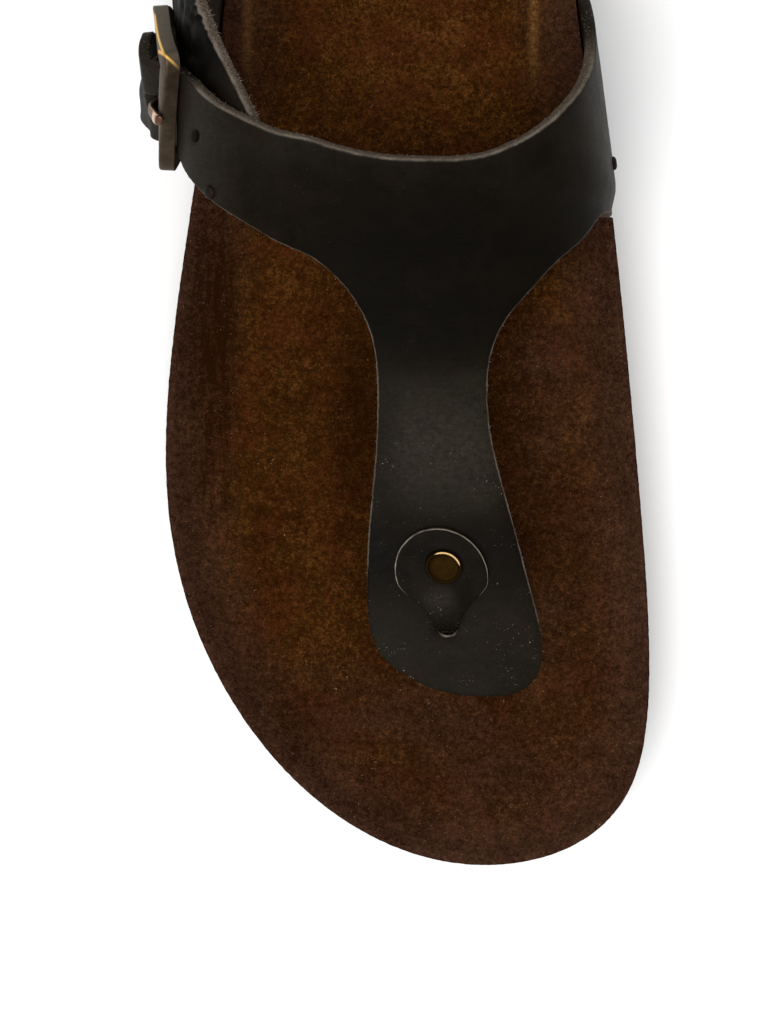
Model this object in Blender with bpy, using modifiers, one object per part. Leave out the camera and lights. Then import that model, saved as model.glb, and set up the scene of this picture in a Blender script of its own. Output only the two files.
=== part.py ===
import math
from functools import lru_cache

import bpy
import bmesh
import numpy as np
from mathutils import Vector
from mathutils.geometry import delaunay_2d_cdt

MM = 0.001
SHARP_FROM = math.radians(40)
NAME = "toe_post_sandal"

# All sizes are in millimetres. The toe points to -Y, the big-toe side is +X, the floor is Z = 0.
SOLE_LENGTH = 280.0
LEATHER = 2.6             # straps
SUEDE = 1.6               # insole cover
LOOP_LEATHER = 1.2        # thin strip that carries the buckle
FIT_GAP = 0.3             # room between pieces that touch
STRAP_RECESS = 1.8        # how far a strap's end is let into the footbed's side
RECESS_RAMP = 2.5
SIDE_TAPER = 2.0          # the footbed's side leans in by this, rim to outsole
RIM_TOP = 1.4             # the rim is level this far in from its edge
OUTSOLE_INSET = 0.3       # outsole's upper edge inside the rim's outline
OUTSOLE_THICKNESS = 9.0
TOE_SPRING = 9.0
HEEL_BEVEL = 3.0
FLAT_FROM, FLAT_TO = -78.0, 122.0   # the outsole lies on the floor between these Y

# outline of the rim: y, lateral x, medial x
OUTLINE = np.array([
    (-140.0, 19.5, 19.5),
    (-134.5, -4.0, 41.0),
    (-122.0, -22.0, 52.0),
    (-104.0, -36.5, 55.6),
    (-86.0, -45.2, 55.6),
    (-60.0, -50.8, 53.8),
    (-30.0, -50.2, 51.0),
    (0.0, -46.2, 47.6),
    (30.0, -41.8, 43.5),
    (60.0, -39.2, 39.6),
    (90.0, -38.6, 37.8),
    (115.0, -35.0, 34.4),
    (132.0, -22.0, 21.5),
    (140.0, -0.5, -0.5),
])

# footbed: y, height of the bed, of the lateral rim, of the medial rim, width of each rise
FOOTBED = np.array([
    (-140.0, 25.0, 29.0, 29.0, 9.0, 9.0),
    (-115.0, 22.0, 26.0, 26.0, 9.0, 9.0),
    (-80.0, 20.0, 24.0, 24.5, 9.0, 9.0),
    (-50.0, 20.0, 24.0, 25.5, 9.0, 10.0),
    (-15.0, 22.0, 26.0, 29.5, 13.0, 20.0),
    (20.0, 24.5, 30.0, 36.5, 18.0, 32.0),
    (50.0, 25.5, 32.5, 39.0, 22.0, 33.0),
    (85.0, 26.0, 35.5, 38.0, 24.0, 26.0),
    (140.0, 27.0, 39.0, 39.0, 25.0, 25.0),
])

# foot form under the straps: y, crest x, crest height, height where each side stands upright,
# how far the lateral side leans out there
FORM = np.array([
    (-112.0, 13.5, 35.0, 26.0, 27.0, 0.0),
    (-90.0, 12.4, 39.0, 26.0, 27.0, 0.0),
    (-66.0, 9.5, 43.8, 26.0, 27.0, 0.0),
    (-38.0, 7.5, 51.7, 27.5, 29.0, 0.0),
    (-15.0, 7.0, 61.5, 34.0, 32.0, 0.0),
    (11.0, 7.0, 76.5, 42.5, 36.5, -0.7),
    (50.0, 6.0, 98.0, 49.0, 41.5, 7.2),
    (85.0, 5.0, 116.0, 57.0, 43.0, 6.2),
])
LATERAL_FULLNESS = 2.35   # superellipse powers of the form's two sides
MEDIAL_FULLNESS = 2.4

# pattern of the T-strap: u across the form from its crest, v along Y
STRAP_FRONT_MEDIAL = [(84, 3), (70, 3.3), (57, 3.6), (48, 3.4), (42, 1.8), (33, -4), (27, -8),
                      (21.5, -13.5), (16, -20), (12.8, -27), (11.7, -35), (12.1, -45), (13.8, -55),
                      (16, -67), (17.8, -80)]
STRAP_TONGUE = [(18.8, -92), (17, -98), (12.5, -101.3), (4, -102), (-4.5, -100.6), (-12, -96.8),
                (-16.7, -92), (-18, -86)]
STRAP_FRONT_LATERAL = [(-17.5, -78), (-15.6, -66), (-13.2, -53), (-11.8, -40), (-11.7, -30), (-13, -22.5),
                       (-16.5, -15.5), (-22, -9.4), (-30, -4), (-38, 0.8), (-46, 5), (-51, 8)]
STRAP_REAR = [(-47, 26.2), (-38, 22), (-30, 18.6), (-20.5, 15.2), (-10, 13), (1, 12.5), (9, 13), (15, 14.8),
              (21.5, 18), (28, 22), (35, 26.4), (41, 30), (50, 35.5), (60, 41.5), (70, 47), (80, 51.5),
              (90, 55)]
MEDIAL_FOOT = (3.0, 57.0)          # the medial arm meets the sole between these v

# buckle arm: its own axes are t down the arm and w across it, from the buckle's outer bar
ARM_U, ARM_V = -62.0, 23.8
ARM_ANGLE = math.radians(22.0)
ARM_WIDTH = 18.0
ARM_END = 28.0
ARM_CORNER = 5.0
ARM_FROM = -6.0           # the strap's edges run straight from here
OPEN_HOLE_T = -11.5
HOLE_RADIUS = 1.3
PRONG_HOLE_T = 8.2
PRONG_HOLE_LENGTH = 5.8

# pattern of the base strap, top first, in u and v
BASE_REAR = [(-35, 16), (-37.5, 20.5), (-40.5, 25.5), (-43.5, 30), (-47, 35), (-50.5, 40), (-55, 46),
             (-62, 51), (-72, 54), (-83, 56), (-94, 57)]
BASE_FRONT = [(-92, 17), (-78, 17), (-65, 15.5), (-54, 12), (-44, 8), (-36, 5.5)]
BASE_FOOT = (17.0, 57.0)
BASE_TAB_END = 24.0       # the T-strap begins to rise over the base strap's tab this far from the crest

# buckle
BAR_WIDTH = 4.0
BAR_THICKNESS = 3.4
FRAME_LENGTH = 23.0       # between the middles of its outer and inner bars
FRAME_WIDTH = 23.5        # between the middles of its side bars
FRAME_CORNER = 2.6
CENTRE_BAR_RADIUS = 1.1
OUTER_BAR_LIFT = 7.8
INNER_BAR_LIFT = 4.6
LOOP_HALF_WIDTH = 8.5
LOOP_TAIL = 8.0
PRONG_WIDTH = 2.4
PRONG_THICKNESS = 1.2

# toe post
POST_U, POST_V = -0.6, -88.4
POST_WIDTH, POST_DEPTH = 8.0, 4.4
POST_ROOT = 13.0          # height of its lower end, inside the footbed
SLIT_WIDTH, STRIP_THICKNESS = 6.0, 1.8
TEARDROP_RADIUS = 10.0
TEARDROP_REACH = 13.0     # from the slit to the middle of the round end
RIVET_RADIUS, RIVET_HEIGHT = 4.1, 1.3
TACK_RADIUS, TACK_HEIGHT = 1.5, 0.9
TACK_MEDIAL = (56.0, 13.0)
TACK_LATERAL = (-46.5, 7.6)

# tread
GROOVE_WIDTH, GROOVE_DEPTH = 2.6, 2.2
TREAD_PITCH, TREAD_SHARE, TREAD_WAVE = 13.0, 0.72, 2.5
TREAD_BANDS = ((-112.0, -86.0), (-38.0, 1.0), (40.0, 66.0), (106.0, 106.0))


# ---- curves -------------------------------------------------------------------------------

def spline(xs, ys):
    """Natural cubic through the given rows, held at its ends."""
    count, step = len(xs), np.diff(xs)
    system, right = np.eye(count), np.zeros(count)
    for i in range(1, count - 1):
        system[i, i - 1:i + 2] = step[i - 1], 2 * (step[i - 1] + step[i]), step[i]
        right[i] = 6 * ((ys[i + 1] - ys[i]) / step[i] - (ys[i] - ys[i - 1]) / step[i - 1])
    bend = np.linalg.solve(system, right)

    def value(x):
        x = np.clip(x, xs[0], xs[-1])
        i = np.clip(np.searchsorted(xs, x) - 1, 0, count - 2)
        a = (xs[i + 1] - x) / step[i]
        b = 1 - a
        curve = ((a**3 - a) * bend[i] + (b**3 - b) * bend[i + 1]) * step[i]**2 / 6
        return a * ys[i] + b * ys[i + 1] + curve
    return value


def smooth(q):
    q = np.clip(q, 0.0, 1.0)
    return q * q * (3 - 2 * q)


def resample(points, count, closed=False):
    points = np.asarray(points, float)
    if closed:
        points = np.vstack([points, points[:1]])
    run = np.append(0, np.cumsum(np.linalg.norm(np.diff(points, axis=0), axis=1)))
    at = np.linspace(0, run[-1], count, endpoint=not closed)
    return np.stack([np.interp(at, run, points[:, k]) for k in range(points.shape[1])], 1)


def through(points, spacing):
    """Smooth open curve through the points, sampled about every spacing."""
    points = np.asarray(points, float)
    run = np.append(0, np.cumsum(np.linalg.norm(np.diff(points, axis=0), axis=1)))
    at = np.linspace(0, run[-1], 12 * len(points))
    dense = np.stack([spline(run, points[:, k])(at) for k in range(points.shape[1])], 1)
    return resample(dense, max(3, round(run[-1] / spacing) + 1))


def inside(points, outline):
    points, outline = np.atleast_2d(points), np.asarray(outline)
    x, y = points[:, 0], points[:, 1]
    result = np.zeros(len(points), bool)
    for (ax, ay), (bx, by) in zip(outline, np.roll(outline, -1, axis=0)):
        if ay == by:
            continue
        crosses = (ay > y) != (by > y)
        result ^= crosses & (x < (bx - ax) * (y - ay) / (by - ay) + ax)
    return result


def clearance(points, outline):
    """Distance from each point to the nearest edge of a closed outline."""
    points, start = np.atleast_2d(points), np.asarray(outline)
    edge = np.roll(start, -1, axis=0) - start
    away = points[:, None, :] - start[None, :, :]
    along = np.clip((away * edge).sum(2) / (edge * edge).sum(1), 0, 1)
    return np.linalg.norm(away - along[:, :, None] * edge, axis=2).min(axis=1)


# ---- sole shape ---------------------------------------------------------------------------

def turn(y):
    return np.arccos(np.clip(-2 * np.asarray(y, float) / SOLE_LENGTH, -1, 1))


lateral_by_turn = spline(turn(OUTLINE[:, 0]), OUTLINE[:, 1])
medial_by_turn = spline(turn(OUTLINE[:, 0]), OUTLINE[:, 2])
bed_height, lateral_rim, medial_rim, lateral_rise, medial_rise = (
    spline(FOOTBED[:, 0], FOOTBED[:, k]) for k in range(1, 6))
crest_x, crest_z, lateral_shoulder, medial_shoulder, lateral_lean = (
    spline(FORM[:, 0], FORM[:, k]) for k in range(1, 6))


def lateral_edge(y):
    return lateral_by_turn(turn(y))


def medial_edge(y):
    return medial_by_turn(turn(y))


def rim_outline(count=400):
    half = np.linspace(0, math.pi, count // 2 + 1)
    y = -np.cos(half) * SOLE_LENGTH / 2
    medial = np.stack([medial_by_turn(half), y], 1)
    lateral = np.stack([lateral_by_turn(half), y], 1)[::-1]
    return np.vstack([medial[:-1], lateral[:-1]])


RIM = rim_outline()


def recess(x, y):
    """How far the footbed's side is let in for the strap ends, at points of its edge."""
    middle = (lateral_edge(y) + medial_edge(y)) / 2
    first = np.where(x > middle, MEDIAL_FOOT[0], BASE_FOOT[0]) - 0.8
    last = np.where(x > middle, MEDIAL_FOOT[1], BASE_FOOT[1]) + 0.8
    opening, closing = (y - first) / RECESS_RAMP + 1, (last - y) / RECESS_RAMP + 1
    return STRAP_RECESS * smooth(opening) * smooth(closing)


def edge_loop(inset, count, let_in=False):
    """Outline moved inwards, with closer points where the recesses for the straps begin and end."""
    loop = resample(RIM, 1200, closed=True)
    side = np.roll(loop, -1, axis=0) - np.roll(loop, 1, axis=0)
    inward = np.stack([-side[:, 1], side[:, 0]], 1)
    inward /= np.linalg.norm(inward, axis=1, keepdims=True)
    moved = loop + inward * inset
    x, y = loop[:, 0], loop[:, 1]
    middle = (lateral_edge(y) + medial_edge(y)) / 2
    if let_in:
        moved[:, 0] -= np.sign(x - middle) * recess(x, y)
    crowd = np.ones(len(loop))
    for is_medial, foot in ((True, MEDIAL_FOOT), (False, BASE_FOOT)):
        for ramp_y in (foot[0] - RECESS_RAMP / 2, foot[1] + RECESS_RAMP / 2):
            crowd += 4.0 * np.exp(-((y - ramp_y) / 3.5)**2) * ((x > middle) == is_medial)
    run = np.append(0, np.cumsum(crowd))
    at = np.linspace(0, run[-1], count, endpoint=False)
    closed = np.vstack([moved, moved[:1]])
    return np.stack([np.interp(at, run, closed[:, k]) for k in (0, 1)], 1)


def rim_height(x, y):
    middle = (lateral_edge(y) + medial_edge(y)) / 2
    to_medial = 0.5 + 0.5 * np.tanh((x - middle) / 10)
    return lateral_rim(y) * (1 - to_medial) + medial_rim(y) * to_medial


def footbed_height(points):
    """Upper face of the insole: a dished bed with a raised rim, arch, toe ridge and pad."""
    x, y = points[:, 0], points[:, 1]
    middle = (lateral_edge(y) + medial_edge(y)) / 2
    to_medial = 0.5 + 0.5 * np.tanh((x - middle) / 10)
    width = lateral_rise(y) * (1 - to_medial) + medial_rise(y) * to_medial
    rise = np.clip(1 - (clearance(points, RIM) - RIM_TOP) / width, 0, 1)
    rise = np.minimum(rise, 1) ** 2.1
    bed = bed_height(y)
    pad = 2.2 * np.exp(-((x - 2) / 17)**2 - ((y + 8) / 20)**2)
    ridge_y = -84 - 0.12 * (x - 5)
    ridge = 1.3 * np.exp(-((y - ridge_y) / 7)**2) * smooth((40 - np.abs(x - 3)) / 14)
    return bed + (rim_height(x, y) - bed) * rise + (pad + ridge) * (1 - rise)


def sole_bottom(y):
    toe = np.clip((FLAT_FROM - y) / (FLAT_FROM + SOLE_LENGTH / 2), 0, 1)
    heel = np.clip((y - FLAT_TO) / (SOLE_LENGTH / 2 - FLAT_TO), 0, 1)
    return TOE_SPRING * toe**1.8 + HEEL_BEVEL * heel**1.6


def outsole_top(y):
    heel = smooth((np.asarray(y, float) - FLAT_TO) / (SOLE_LENGTH / 2 - FLAT_TO))
    toe = np.clip((FLAT_FROM - y) / (FLAT_FROM + SOLE_LENGTH / 2), 0, 1)
    return OUTSOLE_THICKNESS + (TOE_SPRING - 2.0) * toe**1.8 + 0.8 * heel


# ---- foot form and the map from leather pattern to space -----------------------------------

@lru_cache(maxsize=None)
def form_side(y, side):
    """Section of the form from its crest down one side: run, x and z. side is -1 or 1."""
    if side < 0:
        edge, shoulder = lateral_edge(y), lateral_shoulder(y)
        power, lean = LATERAL_FULLNESS, lateral_lean(y)
    else:
        edge, shoulder = medial_edge(y), medial_shoulder(y)
        power, lean = MEDIAL_FULLNESS, 0.0
    wall = edge - side * (STRAP_RECESS - FIT_GAP)
    rim_point = np.array([(edge - side * (STRAP_RECESS + RIM_TOP), y)])
    cork_edge = footbed_height(rim_point)[0] - SUEDE - FIT_GAP
    top_x, top_z = crest_x(y), crest_z(y)
    angle = np.linspace(math.pi / 2, 0, 48)
    reach, drop = abs(wall + side * lean - top_x), max(top_z - shoulder, 3.0)
    x = top_x + side * reach * np.cos(angle)**(2 / power)
    z = top_z - drop + drop * np.sin(angle)**(2 / power)
    foot = float(outsole_top(y)) + 2 * FIT_GAP
    x = np.append(x, [wall, wall - side * SIDE_TAPER])
    z = np.append(z, [cork_edge, foot])
    run = np.append(0, np.cumsum(np.hypot(np.diff(x), np.diff(z))))
    return run, x, z


def foot_run(y, side):
    return form_side(round(float(y), 4), side)[0][-1]


def on_form(u, v):
    v = round(float(v), 4)
    run, x, z = form_side(v, -1 if u < 0 else 1)
    far = abs(u)
    if far <= run[-1]:
        return np.array([np.interp(far, run, x), v, np.interp(far, run, z)])
    slope = np.array([x[-1] - x[-2], z[-1] - z[-2]])
    slope /= np.linalg.norm(slope)
    beyond = far - run[-1]
    return np.array([x[-1] + slope[0] * beyond, v, z[-1] + slope[1] * beyond])


def outward(u, v):
    reach = 0.8
    across = on_form(u + reach, v) - on_form(u - reach, v)
    along = on_form(u, v + reach) - on_form(u, v - reach)
    normal = np.cross(across, along)
    return normal / np.linalg.norm(normal)


def lifted(u, v, lift):
    return on_form(u, v) + outward(u, v) * lift


def arm_pattern(t, w):
    return (ARM_U - t * math.cos(ARM_ANGLE) + w * math.sin(ARM_ANGLE),
            ARM_V + t * math.sin(ARM_ANGLE) + w * math.cos(ARM_ANGLE))


def arm_point(t, w, lift):
    return lifted(*arm_pattern(t, w), lift)


def arm_station(u, v):
    return (ARM_U - u) * math.cos(ARM_ANGLE) + (v - ARM_V) * math.sin(ARM_ANGLE)


def strap_lift(u, v):
    """Inner face of the T-strap above the form: over the base strap, then over the loop."""
    if u > 0:
        return 0.0
    t = arm_station(u, v)
    over_base = (LEATHER + FIT_GAP) * smooth((-u - BASE_TAB_END) / 9)
    over_loop = 6.2 * smooth((t - BAR_WIDTH / 2 - 0.3) / 8.2) + 0.4 * smooth((t - 10) / 18)
    return float(over_base + over_loop)


def frame_lift(t):
    return OUTER_BAR_LIFT + (INNER_BAR_LIFT - OUTER_BAR_LIFT) * t / FRAME_LENGTH


# ---- meshes -------------------------------------------------------------------------------

def fill(outline, inner, holes=()):
    """Triangles over a flat outline, its holes and the given inner points."""
    loops = [np.asarray(outline, float)] + [np.asarray(hole, float) for hole in holes]
    points, edges = [], []
    for loop in loops:
        start = len(points)
        points += [Vector(p) for p in loop]
        edges += [(start + i, start + (i + 1) % len(loop)) for i in range(len(loop))]
    points += [Vector(p) for p in inner]
    verts, _, faces, _, _, _ = delaunay_2d_cdt(points, edges, [], 0, 1e-6)
    verts = np.array([tuple(v) for v in verts])
    faces = np.array([f for f in faces if len(f) == 3])
    centres = verts[faces].mean(axis=1)
    keep = inside(centres, loops[0])
    for hole in loops[1:]:
        keep &= ~inside(centres, hole)
    return verts, faces[keep]


def grid_inside(outline, spacing, margin, holes=()):
    low, high = np.min(outline, axis=0), np.max(outline, axis=0)
    rows = []
    for j, y in enumerate(np.arange(low[1] + spacing / 2, high[1], spacing * 0.866)):
        for x in np.arange(low[0] + spacing / 2 * (1 + j % 2), high[0], spacing):
            rows.append((x, y))
    rows = np.array(rows)
    keep = inside(rows, outline) & (clearance(rows, outline) > margin)
    for hole in holes:
        keep &= ~inside(rows, hole) & (clearance(rows, hole) > margin)
    return rows[keep]


def arm_hole(t, half_length, half_width, count, power=2.0):
    """Hole in the buckle arm, round or drawn out along it."""
    turn_by = np.linspace(0, 2 * math.pi, count, endpoint=False)
    along, across = np.cos(turn_by), np.sin(turn_by)
    return [arm_pattern(t + half_length * np.sign(a) * abs(a)**(2 / power),
                        half_width * np.sign(b) * abs(b)**(2 / power)) for a, b in zip(along, across)]


def material(name, colour, roughness, metallic=0.0):
    result = bpy.data.materials.new(name)
    result.use_nodes = True
    shader = result.node_tree.nodes["Principled BSDF"]
    shader.inputs["Base Color"].default_value = (*colour, 1.0)
    shader.inputs["Roughness"].default_value = roughness
    shader.inputs["Metallic"].default_value = metallic
    result.diffuse_color = (*colour, 1.0)
    return result


def new_mesh(name, verts, faces):
    mesh = bpy.data.meshes.new(name)
    points = [tuple(np.asarray(v, float) * MM) for v in verts]
    mesh.from_pydata(points, [], [tuple(map(int, f)) for f in faces])
    return mesh


def add_object(name, verts, faces, slot, collection):
    mesh = new_mesh(name, verts, faces)
    mesh.validate()
    mesh.materials.append(slot)
    mesh.shade_smooth()
    mesh.set_sharp_from_angle(angle=SHARP_FROM)
    result = bpy.data.objects.new(name, mesh)
    collection.objects.link(result)
    return result


def face_out(thing):
    work = bmesh.new()
    work.from_mesh(thing.data)
    bmesh.ops.recalc_face_normals(work, faces=work.faces)
    work.to_mesh(thing.data)
    work.free()


def ladder(first, second, count):
    """Faces between two closed rings of vertices that start at these numbers."""
    follow = [(j + 1) % count for j in range(count)]
    return [(first + j, first + k, second + k, second + j) for j, k in enumerate(follow)]


def loft(rings, capped=True):
    """Faces of a tube of equal rings, with fans over its two ends."""
    count = len(rings[0])
    verts = [p for ring in rings for p in ring]
    faces = []
    for i in range(len(rings) - 1):
        faces += ladder(i * count, (i + 1) * count, count)
    if capped:
        for start, ring in ((0, rings[0]), ((len(rings) - 1) * count, rings[-1])):
            middle = len(verts)
            verts.append(np.mean(ring, axis=0))
            faces += [(start + j, start + (j + 1) % count, middle) for j in range(count)]
    return verts, faces


def closed_loft(rings):
    """Faces of a tube of equal rings that meets itself."""
    count, total = len(rings[0]), len(rings)
    verts = [p for ring in rings for p in ring]
    faces = []
    for i in range(total):
        faces += ladder(i * count, (i + 1) % total * count, count)
    return verts, faces


def slab(top_patch, top_z, loops, bottom_patch, bottom_z):
    """Solid between two filled faces, joined by loops of one count; each loop is xy and z."""
    (top_xy, top_faces), (bottom_xy, bottom_faces) = top_patch, bottom_patch
    count = len(loops[0][0])
    verts = [(*p, z) for p, z in zip(top_xy, top_z)]
    faces = [tuple(f) for f in top_faces]
    above = 0
    for xy, z in loops[1:-1]:
        start = len(verts)
        verts += [(*p, h) for p, h in zip(xy, z)]
        faces += ladder(above, start, count)
        above = start
    start = len(verts)
    verts += [(*p, z) for p, z in zip(bottom_xy, bottom_z)]
    faces += ladder(above, start, count)
    faces += [tuple(start + k for k in f) for f in bottom_faces]
    return verts, faces


def hide_cutter(mesh, collection):
    result = bpy.data.objects.new(mesh.name, mesh)
    collection.objects.link(result)
    result.hide_render = True
    result.display_type = "WIRE"
    return result


def cutter(name, verts, faces, collection):
    """Helper solid that is only used to cut another."""
    result = hide_cutter(new_mesh(name, verts, faces), collection)
    face_out(result)
    return result


def boolean(thing, other, operation="DIFFERENCE"):
    change = thing.modifiers.new(other.name, "BOOLEAN")
    change.operation = operation
    change.solver = "EXACT"
    change.object = other


# ---- sole pieces --------------------------------------------------------------------------

LOOP_COUNT = 100


def bed_patch():
    """Shared net of the footbed's upper faces: a rim loop, inner rings and a loose grid."""
    rim = edge_loop(RIM_TOP, LOOP_COUNT, let_in=True)
    rings = [edge_loop(inset, count) for inset, count in ((6.5, 84), (11.5, 70), (17.5, 56))]
    core = grid_inside(rings[-1], 12.0, 5.0)
    return fill(rim, np.vstack(rings + [core]))


def build_insole(patch, slot, collection):
    xy, faces = patch
    top = footbed_height(xy)
    bottom = top - SUEDE
    edge, round_edge = edge_loop(0.0, LOOP_COUNT, True), edge_loop(0.4, LOOP_COUNT, True)
    crown = footbed_height(edge_loop(RIM_TOP, LOOP_COUNT, True))
    loops = [(xy[:LOOP_COUNT], crown), (round_edge, crown - 0.15), (edge, crown - 0.75),
             (edge, crown - SUEDE), (xy[:LOOP_COUNT], bottom[:LOOP_COUNT])]
    verts, solid = slab((xy, faces), top, loops, (xy, faces), bottom)
    result = add_object("suede_insole", verts, solid, slot, collection)
    face_out(result)
    return result


def build_cork(patch, slot, collection):
    xy, faces = patch
    top = footbed_height(xy) - SUEDE - FIT_GAP
    edge = edge_loop(0.0, LOOP_COUNT, True)
    edge_top = footbed_height(edge_loop(RIM_TOP, LOOP_COUNT, True)) - SUEDE - FIT_GAP
    foot = edge_loop(SIDE_TAPER, LOOP_COUNT, True)
    foot_z = outsole_top(foot[:, 1]) + FIT_GAP
    core = fill(foot, grid_inside(foot, 13.0, 6.5))
    core_z = outsole_top(core[0][:, 1]) + FIT_GAP
    loops = [(xy[:LOOP_COUNT], top[:LOOP_COUNT]), (edge, edge_top), (foot, foot_z)]
    verts, solid = slab((xy, faces), top, loops, core, core_z)
    result = add_object("cork_footbed", verts, solid, slot, collection)
    face_out(result)
    return result


def build_outsole(slot, collection, cutters):
    top_edge = edge_loop(OUTSOLE_INSET, LOOP_COUNT)
    bottom_edge = edge_loop(3.0, LOOP_COUNT)
    levels = [(0.0, OUTSOLE_INSET), (0.32, OUTSOLE_INSET + 0.3), (0.45, OUTSOLE_INSET + 1.3),
              (0.58, OUTSOLE_INSET + 0.5), (0.90, 1.6)]
    top = fill(top_edge, grid_inside(top_edge, 13.0, 6.5))
    bottom = fill(bottom_edge, grid_inside(bottom_edge, 16.0, 8.0))
    loops = []
    for share, inset in levels:
        loop = edge_loop(inset, LOOP_COUNT)
        high, low = outsole_top(loop[:, 1]), sole_bottom(loop[:, 1])
        loops.append((loop, high + (low - high) * share))
    loops.append((bottom_edge, sole_bottom(bottom_edge[:, 1])))
    verts, solid = slab(top, outsole_top(top[0][:, 1]), loops, bottom, sole_bottom(bottom[0][:, 1]))
    result = add_object("outsole", verts, solid, slot, collection)
    face_out(result)
    for cut in tread_cutters(cutters):
        boolean(result, cut)
    return result


def tread_cutters(collection):
    """One solid for each wavy groove across the tread; the pads at ball and heel stay whole."""
    result = []
    for first, last in TREAD_BANDS:
        for y in np.arange(first, last + 0.1, TREAD_PITCH):
            middle = float(lateral_edge(y) + medial_edge(y)) / 2
            half = float(medial_edge(y) - lateral_edge(y)) * TREAD_SHARE / 2
            low, high = float(sole_bottom(y)) - 4.0, float(sole_bottom(y)) + GROOVE_DEPTH
            rings = []
            for j, x in enumerate(np.linspace(middle - half, middle + half, 7)):
                near = y + TREAD_WAVE * (-1)**j - GROOVE_WIDTH / 2
                far = near + GROOVE_WIDTH
                rings.append([(x, near, low), (x, far, low), (x, far, high), (x, near, high)])
            verts, faces = loft(rings)
            result.append(cutter(f"tread_groove_{len(result) + 1}", verts, faces, collection))
    return result


# ---- straps -------------------------------------------------------------------------------

ARM_ROWS = np.arange(-10.0, ARM_END - 1.5, 2.0)


def strap_outline(spacing):
    """Closed outline of the T-strap in pattern sizes."""
    half = ARM_WIDTH / 2
    medial_end, rear_end = foot_run(MEDIAL_FOOT[0], 1), foot_run(MEDIAL_FOOT[1], 1)
    front = through(STRAP_FRONT_MEDIAL + STRAP_TONGUE + STRAP_FRONT_LATERAL
                    + [arm_pattern(ARM_FROM, -half)], spacing)
    front = front[front[:, 0] < medial_end - spacing / 2]
    sides = [t for t in ARM_ROWS if -4.0 <= t < ARM_END - ARM_CORNER]
    corners = []
    for side, start, stop in ((-1, -90, 0), (1, 0, 90)):
        for degrees in np.linspace(start, stop, 5):
            angle = math.radians(degrees)
            corners.append(arm_pattern(ARM_END - ARM_CORNER + ARM_CORNER * math.cos(angle),
                                       side * (half - ARM_CORNER) + ARM_CORNER * math.sin(angle)))
    front_side = [arm_pattern(t, -half) for t in sides]
    rear_side = [arm_pattern(t, half) for t in sides[::-1]]
    rear = through([arm_pattern(ARM_FROM, half)] + STRAP_REAR, spacing)
    rear = rear[rear[:, 0] < rear_end - spacing / 2]
    steps = round((MEDIAL_FOOT[1] - MEDIAL_FOOT[0]) / spacing) + 1
    foot = [(foot_run(v, 1), v) for v in np.linspace(MEDIAL_FOOT[1], MEDIAL_FOOT[0], steps)]
    return np.vstack([front, front_side, corners, rear_side, rear, foot])


def strap_net(outline, spacing, holes):
    """Inner points of the T-strap: loose over the foot, in rows down the buckle arm."""
    loose = grid_inside(outline, spacing, spacing * 0.55, holes)
    loose = loose[arm_station(loose[:, 0], loose[:, 1]) < ARM_ROWS[0] - 1.0]
    rows = np.array([arm_pattern(t, w) for t in ARM_ROWS for w in (-6.0, -2.5, 2.5, 6.0)])
    for hole in holes:
        rows = rows[~inside(rows, hole) & (clearance(rows, hole) > 0.5)]
    return np.vstack([loose, rows])


def strap_holes():
    prong = arm_hole(PRONG_HOLE_T, PRONG_HOLE_LENGTH / 2, PRONG_WIDTH / 2 + 3 * FIT_GAP, 16, 4.0)
    upper = arm_hole(OPEN_HOLE_T, HOLE_RADIUS, HOLE_RADIUS, 10)
    half_width, half_depth = SLIT_WIDTH / 2 + FIT_GAP, STRIP_THICKNESS / 2 + FIT_GAP
    slit = [(POST_U + x, POST_V + y) for x, y in ((-half_width, -half_depth), (half_width, -half_depth),
                                                  (half_width, half_depth), (-half_width, half_depth))]
    return [prong, upper, slit]


def wrap(name, outline, net, holes, lift, slot, collection):
    """Flat leather laid on the form and given its thickness."""
    xy, faces = fill(outline, net, holes)
    verts = [lifted(u, v, lift(u, v)) for u, v in xy]
    a, b, c = (np.array(verts[k]) for k in faces[0])
    facing = np.cross(b - a, c - a) @ outward(*xy[faces[0][0]])
    if facing < 0:
        faces = faces[:, ::-1]
    result = add_object(name, verts, faces, slot, collection)
    shell = result.modifiers.new("leather", "SOLIDIFY")
    shell.thickness = LEATHER * MM
    shell.offset = 1.0
    return result


def build_toe_strap(slot, collection):
    outline, holes = strap_outline(3.6), strap_holes()
    return wrap("toe_strap", outline, strap_net(outline, 4.6, holes), holes, strap_lift, slot, collection)


def build_base_strap(slot, collection):
    rear, front = through(BASE_REAR, 4.0), through(BASE_FRONT, 4.0)
    foot = [(-foot_run(v, -1), v) for v in np.linspace(*BASE_FOOT[::-1], 11)]
    rear = rear[rear[:, 0] > foot[0][0] + 2]
    front = front[front[:, 0] > foot[-1][0] + 2]
    outline = np.vstack([rear, foot, front])
    net = grid_inside(outline, 4.8, 2.6)
    return wrap("buckle_strap", outline, net, [], lambda u, v: 0.0, slot, collection)


# ---- buckle -------------------------------------------------------------------------------

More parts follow.
